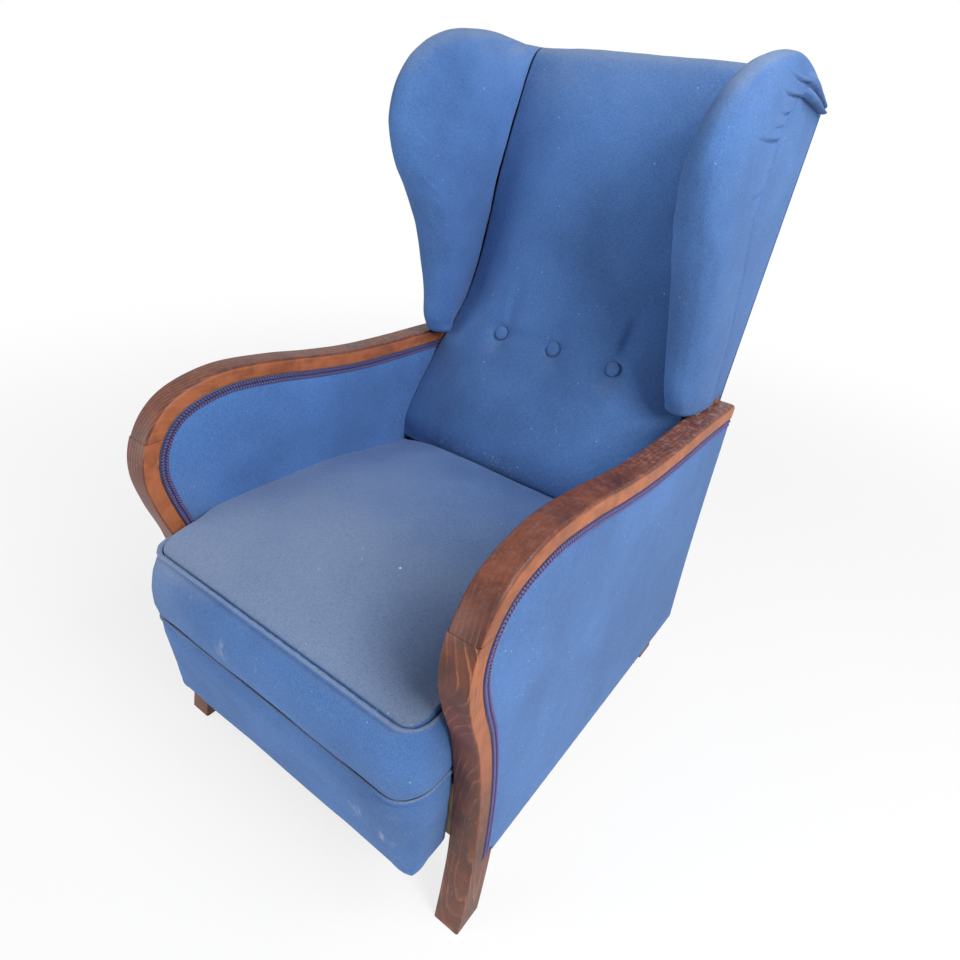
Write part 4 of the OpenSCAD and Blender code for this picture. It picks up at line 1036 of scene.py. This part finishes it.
def makeBack():
    last = back["lastRow"]
    s = np.concatenate([np.linspace(*steps)[:-1] for steps in back["rowSteps"]] + [[last]])
    place, out = curveAt(backPoints, s), backOut(s)
    level = np.minimum(1, (place[:, 1] - backBase[1]) / (chair["backHeight"] - backBase[1]))
    level = np.where(s > back["topRow"], 1, level)
    u = mix(np.linspace(-1, 1, back["columns"]), bunched(back["columns"]), 0.35)
    x = u[None, :] * backHalf(mix(backBase[1], chair["backHeight"], level))[:, None]
    swell = back["crown"] * softened(back["swell"], level)[:, None] * bulge(u)[None, :]
    z = np.repeat(place[:, 1][:, None], len(u), 1)
    buttonZ = curveAt(backPoints, back["buttonRow"])[0][1]
    drawn = np.where((s < back["topRow"])[:, None], tuft(x, z, buttonZ), 0)
    step = swell - drawn
    front = np.stack([x, place[:, 0][:, None] + out[:, 0][:, None] * step, z + out[:, 1][:, None] * step], 2)
    # the rear follows the posts, and crosses over their tops
    lowZ = postTop - 0.002
    over = np.clip((s - back["topRow"] + 0.5) / (last - back["topRow"] + 0.5), 0, 1)
    zz = np.minimum(lowZ, place[:, 1])
    yy = np.where(over > 0, mix(rearY(lowZ) - 0.05, front[-1, 0, 1], over), rearY(zz) - 0.0515)
    zz = np.where(over > 0, postTop + 0.0006, zz)
    rear = np.stack([x * back["draw"], np.repeat(yy[:, None], len(u), 1), np.repeat(zz[:, None], len(u), 1)], 2)
    piece = padPiece("backCushion", front, rear)
    free = np.zeros(x.shape, bool)
    free[3:-2, 2:-2] = True
    puff(piece, sewnPoints(free & (drawn <= back["held"])), back)
    lump = lumps(pointsOf(piece), back["broad"], back["fine"])
    rim = np.minimum(1, (1 - np.abs(u)) * 10)[None, :] * np.ones((len(s), 1))
    lump[:x.size] *= rim.ravel()
    lump[x.size:] = 0
    alongNormals(piece, lump)
    hand(piece, blueCloth, "cover_cloth", "back_cover", "back_stuffing")


# A button's crown, as insets and rises from its rim
buttonSteps = ((0.0012, 0.0012), (0.0022, 0.0010), (0.0032, 0.0006), (0.0026, 0.0002))


def makeButtons():
    made = []
    for place, out in buttonPlaces():
        deselectAll()
        bpy.ops.mesh.primitive_cylinder_add(vertices=40, radius=back["buttonWidth"] / 2, depth=0.005)
        button = bpy.context.object
        bpy.ops.object.mode_set(mode="EDIT")
        bpy.ops.mesh.select_all(action="DESELECT")
        top = bmesh.from_edit_mesh(button.data)
        for face in top.faces:
            face.select = face.normal.z > 0.9
        bmesh.update_edit_mesh(button.data)
        for inset, lift in buttonSteps:
            bpy.ops.mesh.inset(thickness=inset)
            bpy.ops.transform.translate(value=(0, 0, lift))
        bpy.ops.object.mode_set(mode="OBJECT")
        refine(button)
        button.data.shade_smooth()
        turn = Vector((0, 0, 1)).rotation_difference(out)
        button.data.transform(Matrix.Translation(place + out * 0.0012) @ turn.to_matrix().to_4x4())
        made.append(button)
    hand(joinPieces(made, "coveredButtons"), blueCloth, "cover_cloth", "back_buttons")


makeBack()
makeButtons()
print("back ready")


# The padded wings
wing = {
    "stations": 210, "roll": 0.031, "rollTop": 0.024, "fullness": 2.6, "fuller": 0.0028, "forward": 0.006,
    "splay": 0.006, "hollow": 0.0035, "foot": 0.012, "pressure": 3, "frames": 10, "reach": 0.0022,
    # half width of the front edge from the arm to the top, as shares
    "inside": [(0, 0.855), (0.23, 0.813), (0.5, 0.802), (0.7, 0.824), (0.8, 0.844), (0.9, 0.866), (1, 0.893)],
    # two folded lips over the top of the seam: where they begin, and height, place and spread of each fold
    "lipStart": 0.475, "lipGrow": 0.035, "lipEnd": 0.026, "lipDrop": 0.005,
    "folds": [(0.0090, 0.89, 0.13), (0.0070, 0.56, 0.13), (-0.0052, 0.735, 0.045)],
    "seamDip": 0.0050, "seamWide": 0.0042,
    # the cloth turned in at the seam: how deep, how much the lip lifts it, and how far from the seam
    "turnIn": [(-0.0018, 0.006, -0.0004), (-0.0026, 0.002, 0.0002), (-0.0038, 0, 0.0014)],
    # short creases at the seam: their end there, their other end, width, depth
    "creases": [((0.656, 0.966), (0.515, 0.973), 0.0038, 0.0056), ((0.636, 0.908), (0.548, 0.899), 0.0038, 0.0052),
                ((0.680, 1.018), (0.586, 1.026), 0.0034, 0.0046), ((0.672, 1.001), (0.592, 1.000), 0.0034, 0.0036),
                ((0.666, 0.986), (0.56, 0.984), 0.0034, 0.0032), ((0.694, 1.034), (0.612, 1.046), 0.0034, 0.0040),
                ((0.645, 0.935), (0.590, 0.930), 0.003, 0.0026), ((0.634, 0.875), (0.58, 0.869), 0.003, 0.0022),
                ((0.640, 0.84), (0.60, 0.835), 0.003, 0.0014), ((0.65, 0.95), (0.61, 0.951), 0.0025, 0.002)],
    "creaseWide": 0.5, "creaseDeep": 0.62,
}
wingFrame = ((0, armTopHeight), (chair["backReach"], chair["wingHeight"]))
wingSeam = evenly(curveOf(placed(wingSeamShares, *wingFrame), 14), 300)
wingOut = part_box("wing_pad_right")[1].x


# The part of a line that lies above the arm
def aboveArm(line, clear):
    start = next(i for i, p in enumerate(line) if p[1] > armTop(p[0]) + clear)
    return evenly(line[start:], wing["stations"])


def insideX(q, w):      # half width of the wing's inner side at a place, from its front to the back's seam
    share = (q[1] - armTopHeight) / (chair["wingHeight"] - armTopHeight)
    front = chair["innerHalf"] * lookup(share, wing["inside"])
    seam = backHalf(min(q[1], chair["backHeight"])) + 0.0004
    return mix(front, seam, w) - wing["hollow"] * math.sin(math.pi * min(1, w * 1.02))


# One ring round the wing: front edge e, inner seam s, outer seam o, t from the arm to the top
def wingRing(e, s, o, t, lip):
    roll = mix(wing["roll"], wing["rollTop"], smooth((t - 0.55) / 0.35))
    grow = float(smooth((t - 0.12) / 0.25) * (1 - 0.35 * smooth((t - 0.8) / 0.2)))
    e = e + (e - s) / np.linalg.norm(s - e) * wing["forward"] * grow
    splay = wing["splay"] * grow
    toInner, toOuter = np.linalg.norm(s - e), np.linalg.norm(o - e)
    rollIn = min(roll, toInner * 0.45)
    rollShare = rollIn / toInner
    foot = 1 - (1 - min(1, t / wing["foot"])) ** 2      # the lower end is drawn in over the arm
    tip = 1 - smooth((t - 0.95) / 0.05) * 0.35
    ring = []
    for w in np.linspace(1, rollShare, 22)[:-1]:
        q = mix(e, s, w)
        ring.append((insideX(q, smooth((w - rollShare) / (1 - rollShare)) * 0.5 + w * 0.5), q[0], q[1]))
    xIn = insideX(mix(e, s, rollShare), rollShare * 0.5)
    centre, half = (xIn + wingOut) / 2, (wingOut - xIn) / 2 * tip
    for a in np.radians(np.linspace(90, 0, 15)):
        q = mix(e, s, rollIn * (1 - math.cos(a)) / toInner)
        ring.append((centre - half * math.sin(a) + splay * math.cos(a), q[0], q[1]))
    # full and round right out to the seam
    run = (e - o) / toOuter
    full = wing["fullness"]
    for w in mix(1 - np.cos(np.linspace(0, math.pi / 2, 31)), np.linspace(0, 1, 31), 0.45)[1:]:
        fat = (half + wing["fuller"]) * (1 - (1 - w) ** full) ** (1 / full) + splay * (1 - w) ** 2
        folds = sum(height * bell(w - at, spread) for height, at, spread in wing["folds"])
        dip = wing["seamDip"] * bell((1 - w) * toOuter, wing["seamWide"]) * (1 - lip)
        drop = -run * wing["lipDrop"] * lip * smooth((w - 0.5) / 0.5)
        ring.append((centre + fat + lip * folds - dip, *(mix(e, o, w) + drop)))
    # turned in at the seam, then back inside the pad
    end = o - run * wing["lipDrop"] * lip
    for deep, lift, off in wing["turnIn"]:
        ring.append((centre + half + deep + lip * lift, *(end + run * off)))
    for across, along in ((0.35, 0.4), (0.8, 0.9)):
        ring.append((mix(wingOut, ring[0][0], across), *mix(o, s, along)))
    ring = np.array(ring)
    middle = np.array([centre, *mix(e, mix(s, o, 0.5), 0.5)])
    return middle + (ring - middle) * (mix(0.86, 1, foot), mix(0.9, 1, foot), 1)


def makeWing(sign, word):
    edge = aboveArm(evenly(curveOf(placed(wingShares, *wingFrame), 14), 400), 0.0006)
    inner = aboveArm(curveOf(backPoints, 14), -0.001)
    outer = aboveArm(wingSeam, 0.001)
    run = lengthsOf(outer)
    lips = smooth((run - wing["lipStart"]) / wing["lipGrow"])
    lips *= 1 - 0.75 * smooth((run - run[-1] + wing["lipEnd"]) / wing["lipEnd"])
    steps = np.linspace(0, 1, wing["stations"])
    rings = np.array([wingRing(*places) for places in zip(edge, inner, outer, steps, lips)])
    rings[..., 0] *= sign
    piece = sleevePiece("wingPad" + word, rings)
    around = rings.shape[1]
    free = np.zeros(rings.shape[:2], bool)
    free[2:-2, 1:around - 9] = True
    puff(piece, sewnPoints(free, rear=False), wing)
    points = pointsOf(piece)
    lump = lumps(points, (15, 2.2 + sign, 0.0016), (42, 6.1 * sign, 0.0005))
    lump *= (np.arange(len(points)) % around) < around - 5
    lump[:2 * around] = 0
    alongNormals(piece, lump)
    refine(piece)
    # the creases are cut after the refining, so that they stay sharp
    side = (pointsOf(piece) + (0, midY, 0))[:, 1:]
    outward = smooth((normalsOf(piece)[:, 0] * sign - 0.25) / 0.4)
    amount = np.zeros(len(side))
    for start, end, width, depth in wing["creases"]:
        amount += pleat(side, start, end, width * wing["creaseWide"], depth * wing["creaseDeep"]) * outward
    alongNormals(piece, amount)
    hand(piece, blueCloth, "cover_cloth", "wing_pad_" + word.lower())


sheets = {
    "cloth": 0.0014, "tackedRise": 0.012, "rise": 0.016, "rows": 56, "tall": 1.6, "broad": 0.0009, "fine": 0.0003,
    "glued": 0.0118, "outerPuff": 0.0026, "innerPuff": 0.0055, "proud": 0.0016, "wingPuff": 0.0042,
    "wingRise": 0.0035, "wingIn": 0.0036, "wingRear": 0.822,
}


# A stretched sheet with its two sides, from a glued line to a tacked line, seen from the side
def stretchedSheet(name, gluedLine, tackedLine, faceX, sign, puffed, seed, glued, rise=sheets["rise"]):
    w = np.linspace(0, 1, sheets["rows"])
    w = mix(w, w * w, 0.5)[:, None, None]
    grid = gluedLine[None] * (1 - w) + tackedLine[None] * w

    def away(line):
        return np.array([np.min(np.hypot(*(line - q).T)) for q in grid.reshape(-1, 2)]).reshape(grid.shape[:2])

    # flat along its glued edge, and drawn down again at its tacked edge
    near = np.maximum(0, away(evenly(gluedLine, 400)) - glued)
    ends = np.sin(math.pi * np.linspace(0, 1, len(gluedLine)))[None, :] ** 0.15
    dome = (1 - np.exp(-near / rise)) * (1 - np.exp(-away(evenly(tackedLine, 400)) / sheets["tackedRise"])) * ends
    front = np.concatenate([((faceX + puffed * dome) * sign)[..., None], grid], 2)
    piece = padPiece(name, front, front - (sign * sheets["cloth"], 0, 0))
    layFlat(piece.data, np.concatenate([grid.reshape(-1, 2)] * 2))
    points = pointsOf(piece)
    wave = lumps(points, (13, seed, sheets["broad"]), (40, seed + 3, sheets["fine"]), sheets["tall"])
    points[:, 0] += sign * wave * np.concatenate([dome.ravel()] * 2)
    setPoints(piece, points)
    return piece


def makeWingPanel(sign, word):
    seam = evenly(wingSeam[[p[1] > armTop(p[0]) + 0.001 and p[0] < sheets["wingRear"] for p in wingSeam]], 80)
    z = np.linspace(seam[0, 1], backEnd - 0.002, 80)
    rear = np.stack([rearY(z), z], 1)
    piece = stretchedSheet("wingPanel" + word, seam, rear, wingOut - sheets["wingIn"], sign, sheets["wingPuff"],
                           4.4 + sign, 0, sheets["wingRise"])
    lower = word.lower()
    hand(piece, blueCloth, "cover_cloth", "wing_panel_" + lower)


for sign, word in sides:
    makeWing(sign, word)
    makeWingPanel(sign, word)
print("wings ready")


# The arm's line where the cloth begins
showLine = beside(armLine, chair["showDepth"] + 0.0004)


def outerLines(count):
    legLow, sideLow = chair["legLow"], chair["sideLow"]
    top = evenly(showLine[[p[0] < rearY(p[1]) and p[1] > legLow for p in showLine]], count)
    z = np.linspace(top[0, 1], sideLow, 60)
    down = np.stack([rearY(z), z], 1)
    along = np.linspace(down[-1, 0], top[-1, 0] + 0.022, 60)
    bottom = np.stack([along, np.full(60, sideLow)], 1)
    end = np.array([[top[-1, 0] + 0.0225, legLow], [top[-1, 0], legLow]])
    return top, evenly(np.vstack([down, bottom[1:], end]), count)


def innerLines(count):
    low = chair["seatHeight"] - 0.05

    def postFront(z):
        return rearY(z) - chair["postDepth"] - 0.002

    top = evenly(showLine[[p[0] < postFront(p[1]) and p[1] > low for p in showLine]], count)
    z = np.linspace(top[0, 1], low, 50)
    down = np.stack([postFront(z), z], 1)
    bottom = np.stack([np.linspace(down[-1, 0], top[-1, 0], 60), np.full(60, low)], 1)
    return top, evenly(np.vstack([down, bottom[1:]]), count)


def makeSidePanels(sign, word):
    lower = word.lower()
    a, b = outerLines(150)
    x = chair["innerHalf"] + chair["armWidth"] - chair["rebate"] + sheets["proud"]
    piece = stretchedSheet("outerPanel" + word, a, b, x, sign, sheets["outerPuff"], 7.7 + sign, sheets["glued"])
    hand(piece, blueCloth, "cover_cloth", "outer_panel_" + lower)
    a, b = innerLines(150)
    x = chair["innerHalf"] + chair["rebate"] - sheets["proud"] - 0.0001
    piece = stretchedSheet("innerPanel" + word, a, b, x, sign, -sheets["innerPuff"], 9.1 + sign, sheets["glued"])
    hand(piece, blueCloth, "cover_cloth", "inner_panel_" + lower)


behind = {
    "wide": 0.3018, "narrow": wingOut - 0.0022, "step": 0.516, "stepGap": 0.0005, "off": 0.0016, "puff": 0.0035,
    "columns": 101, "tall": 1.4, "broad": (8, 3.3, 0.0016), "fine": (30, 5.3, 0.0004), "flatTall": 0.935,
    "areaStep": 0.508,
}


def makeOutsideBack():
    low, step, gap, columns = chair["sideLow"], behind["step"], behind["stepGap"], behind["columns"]
    z = np.concatenate([np.linspace(low, step - gap, 60), np.linspace(step + gap, backEnd, 90)])
    u = bunched(columns)
    dome = np.sin(np.pi * np.clip((z - z[0]) / (z[-1] - z[0]), 0, 1)) ** 0.4
    out = behind["off"] + behind["puff"] * dome[:, None] * (1 - np.abs(u) ** 4)[None, :]
    x = u[None, :] * np.where(z < step, behind["wide"], behind["narrow"])[:, None]
    front = np.stack([x, rearY(z)[:, None] + out, np.repeat(z[:, None], columns, 1)], 2)
    piece = padPiece("outsideBack", front, front - (0, sheets["cloth"], 0))
    points = pointsOf(piece)
    fade = (dome[:, None] * (1 - np.abs(u) ** 6)[None, :]).ravel()
    points[:, 1] += lumps(points, behind["broad"], behind["fine"], behind["tall"]) * np.concatenate([fade] * 2)
    setPoints(piece, points)
    hand(piece, blueCloth, "cover_cloth", "outside_back")
    area = 2 * behind["wide"] * (behind["areaStep"] - low) * 1.01
    area += 2 * behind["narrow"] * (backEnd - behind["areaStep"]) * 1.05


below = {"cloth": 0.0008, "clear": 0.0006, "sag": 0.006, "wave": 0.0012, "cells": 60}


def makeDustCover():
    low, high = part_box("dust_cover")
    share = np.sin(math.pi * np.linspace(0, 1, below["cells"])) ** 0.7
    x, y = np.linspace(low.x, high.x, below["cells"]), np.linspace(low.y, high.y, below["cells"]) + midY
    xx, yy = np.meshgrid(x, y)
    sag = share[:, None] * share[None, :]
    zz = low.z + below["clear"] - below["sag"] * sag + below["wave"] * np.sin(xx * 52) * sag
    under = np.stack([xx, yy, zz], 2)
    piece = padPiece("dustCover", under + (0, 0, below["cloth"]), under)
    hand(piece, lining, "lining", "dust_cover")


for sign, word in sides:
    makeSidePanels(sign, word)
makeOutsideBack()
makeDustCover()
print("panels ready")


# Braid: two rows of looped thread on a flat tape, whose section is given as shares
braid = {
    "wide": 0.0126, "tape": 0.0007, "pitch": 0.0045, "loop": (0.0064, 0.0034, 0.0036), "lean": 30, "wander": 5,
    "rowAt": 0.245, "loopLift": 0.0010, "unevenLift": 0.00012, "crown": 0.0027, "outerLift": 0.0005,
    "innerLift": 0.0018,
    "section": ((-0.5, 0.0), (-0.47, 1), (0.0, 0.7), (0.47, 1), (0.5, 0.0)),
}


def makeBraid(name, line, faceX, sign, node):
    count = int(float(lengthsOf(line)[-1]) / braid["pitch"])
    centre = evenly(line, count)
    run = unit(np.gradient(centre, axis=0))
    side = leftOf(run)
    deselectAll()
    bpy.ops.mesh.primitive_uv_sphere_add(segments=8, ring_count=5, radius=0.5)
    loop = bpy.context.object
    loop.scale = braid["loop"]
    bpy.ops.object.transform_apply(location=False, rotation=False, scale=True)
    shape = pointsOf(loop)
    loopFaces = [tuple(p.vertices) for p in loop.data.polygons]
    bpy.data.objects.remove(loop)
    points, faces = [], []
    rng = np.random.default_rng(11)
    for row in (-1, 1):
        for k in range(count - 1):
            at = mix(centre[k], centre[k + 1], 0.5 if row > 0 else 0.0)
            turn = math.radians(row * braid["lean"] + rng.uniform(-braid["wander"], braid["wander"]))
            across = side[k] * math.cos(turn) + run[k] * math.sin(turn)
            along = run[k] * math.cos(turn) - side[k] * math.sin(turn)
            at = at + side[k] * row * braid["wide"] * braid["rowAt"]
            lift = rng.uniform(-braid["unevenLift"], braid["unevenLift"])
            base = len(points) * len(shape)
            spot = np.empty_like(shape)
            spot[:, 0] = (faceX + braid["loopLift"] + lift + shape[:, 2]) * sign
            spot[:, 1:] = at + shape[:, :1] * across + shape[:, 1:2] * along
            points.append(spot)
            faces += [tuple(i + base for i in f) for f in loopFaces]
    base = len(points) * len(shape)
    for across, lift in braid["section"]:
        edge = centre + side * braid["wide"] * across
        x = np.full(count, (faceX + braid["tape"] * lift) * sign)
        points.append(np.stack([x, edge[:, 0], edge[:, 1]], 1))
    for j in range(len(braid["section"]) - 1):
        first = base + j * count
        faces += [(a, a + 1, a + 1 + count, a + count) for a in range(first, first + count - 1)]
    points = np.vstack(points)
    # each point keeps its height over the tape, for the shading of the thread
    crown = np.clip((points[:, 0] * sign - faceX) / braid["crown"], 0, 1)
    hand(meshPiece(name, points, faces, np.stack([crown, crown], 1)), braidThread, "braid", node)


def makeBraids():
    middle = beside(armLine, chair["showDepth"] + 0.0004 + braid["wide"] / 2)
    depth, low = chair["postDepth"], chair["seatHeight"] - 0.01
    outerLine = middle[[p[0] < rearY(p[1]) - 0.002 and p[1] > chair["legLow"] + 0.001 for p in middle]]
    innerLine = middle[[p[0] < rearY(p[1]) - depth - 0.004 and p[1] > low for p in middle]]
    outside = chair["innerHalf"] + chair["armWidth"] - chair["rebate"] + sheets["proud"] + braid["outerLift"]
    inside = chair["innerHalf"] + chair["rebate"] - sheets["proud"] - braid["innerLift"]
    for sign, word in sides:
        makeBraid("outerBraid" + word, outerLine, outside, sign, "outer_braid_" + word.lower())
        makeBraid("innerBraid" + word, innerLine, -inside, -sign, "inner_braid_" + word.lower())


makeBraids()
print("braid ready")

studio = {"floor": 30, "white": (1, 1, 1), "nearGlow": 0.78, "glowFrom": 0.9, "glowTo": 2.6, "fill": 0.17}
bpy.ops.mesh.primitive_plane_add(size=studio["floor"], location=(0, 0, 0))
floor = bpy.context.object
floor.name = "floor"


# The floor turns into the white backdrop away from the chair, and keeps its shadow near it
def makeFloor():
    paint = Paint("paleFloor")
    grain = paint.noise(paint.where, 3, 2)
    colour = paint.blend(grain, (0.86, 0.86, 0.86), (0.9, 0.9, 0.9))
    paint.finish(colour=colour, rough=grain * 0.1 + 0.8)
    glow = paint.node("ShaderNodeEmission", None, {"Color": studio["white"], "Strength": 1})["Emission"]
    rays = paint.node("ShaderNodeLightPath")
    lit = rays["Is Camera Ray"].most(rays["Is Glossy Ray"]).most(rays["Is Transmission Ray"])
    far = paint.away((0, 0, 0)).between(studio["glowFrom"], studio["glowTo"])
    share = lit * (far * (1 - studio["nearGlow"]) + studio["nearGlow"])
    inputs = {0: share, 1: Wire(paint, paint.shader.outputs[0]), 2: glow}
    mixed = paint.node("ShaderNodeMixShader", None, inputs)["Shader"]
    paint.feed(paint.tree.nodes["Material Output"].inputs["Surface"], mixed)
    floor.data.materials.append(paint.material)


# A dim white room, which the camera and reflections see as plain white
def makeWorld():
    scene.world = bpy.data.worlds.new("studio")
    scene.world.use_nodes = True
    tree = scene.world.node_tree
    room = tree.nodes["Background"]
    room.inputs["Color"].default_value = (*studio["white"], 1)
    rays = tree.nodes.new("ShaderNodeLightPath")
    seen = rays.outputs["Is Camera Ray"]
    for other in ("Is Glossy Ray", "Is Transmission Ray"):
        either = tree.nodes.new("ShaderNodeMath")
        either.operation = "MAXIMUM"
        tree.links.new(seen, either.inputs[0])
        tree.links.new(rays.outputs[other], either.inputs[1])
        seen = either.outputs[0]
    strength = tree.nodes.new("ShaderNodeMapRange")
    strength.inputs["To Min"].default_value = studio["fill"]
    strength.inputs["To Max"].default_value = 1.0
    tree.links.new(seen, strength.inputs["Value"])
    tree.links.new(strength.outputs["Result"], room.inputs["Strength"])


makeFloor()
makeWorld()
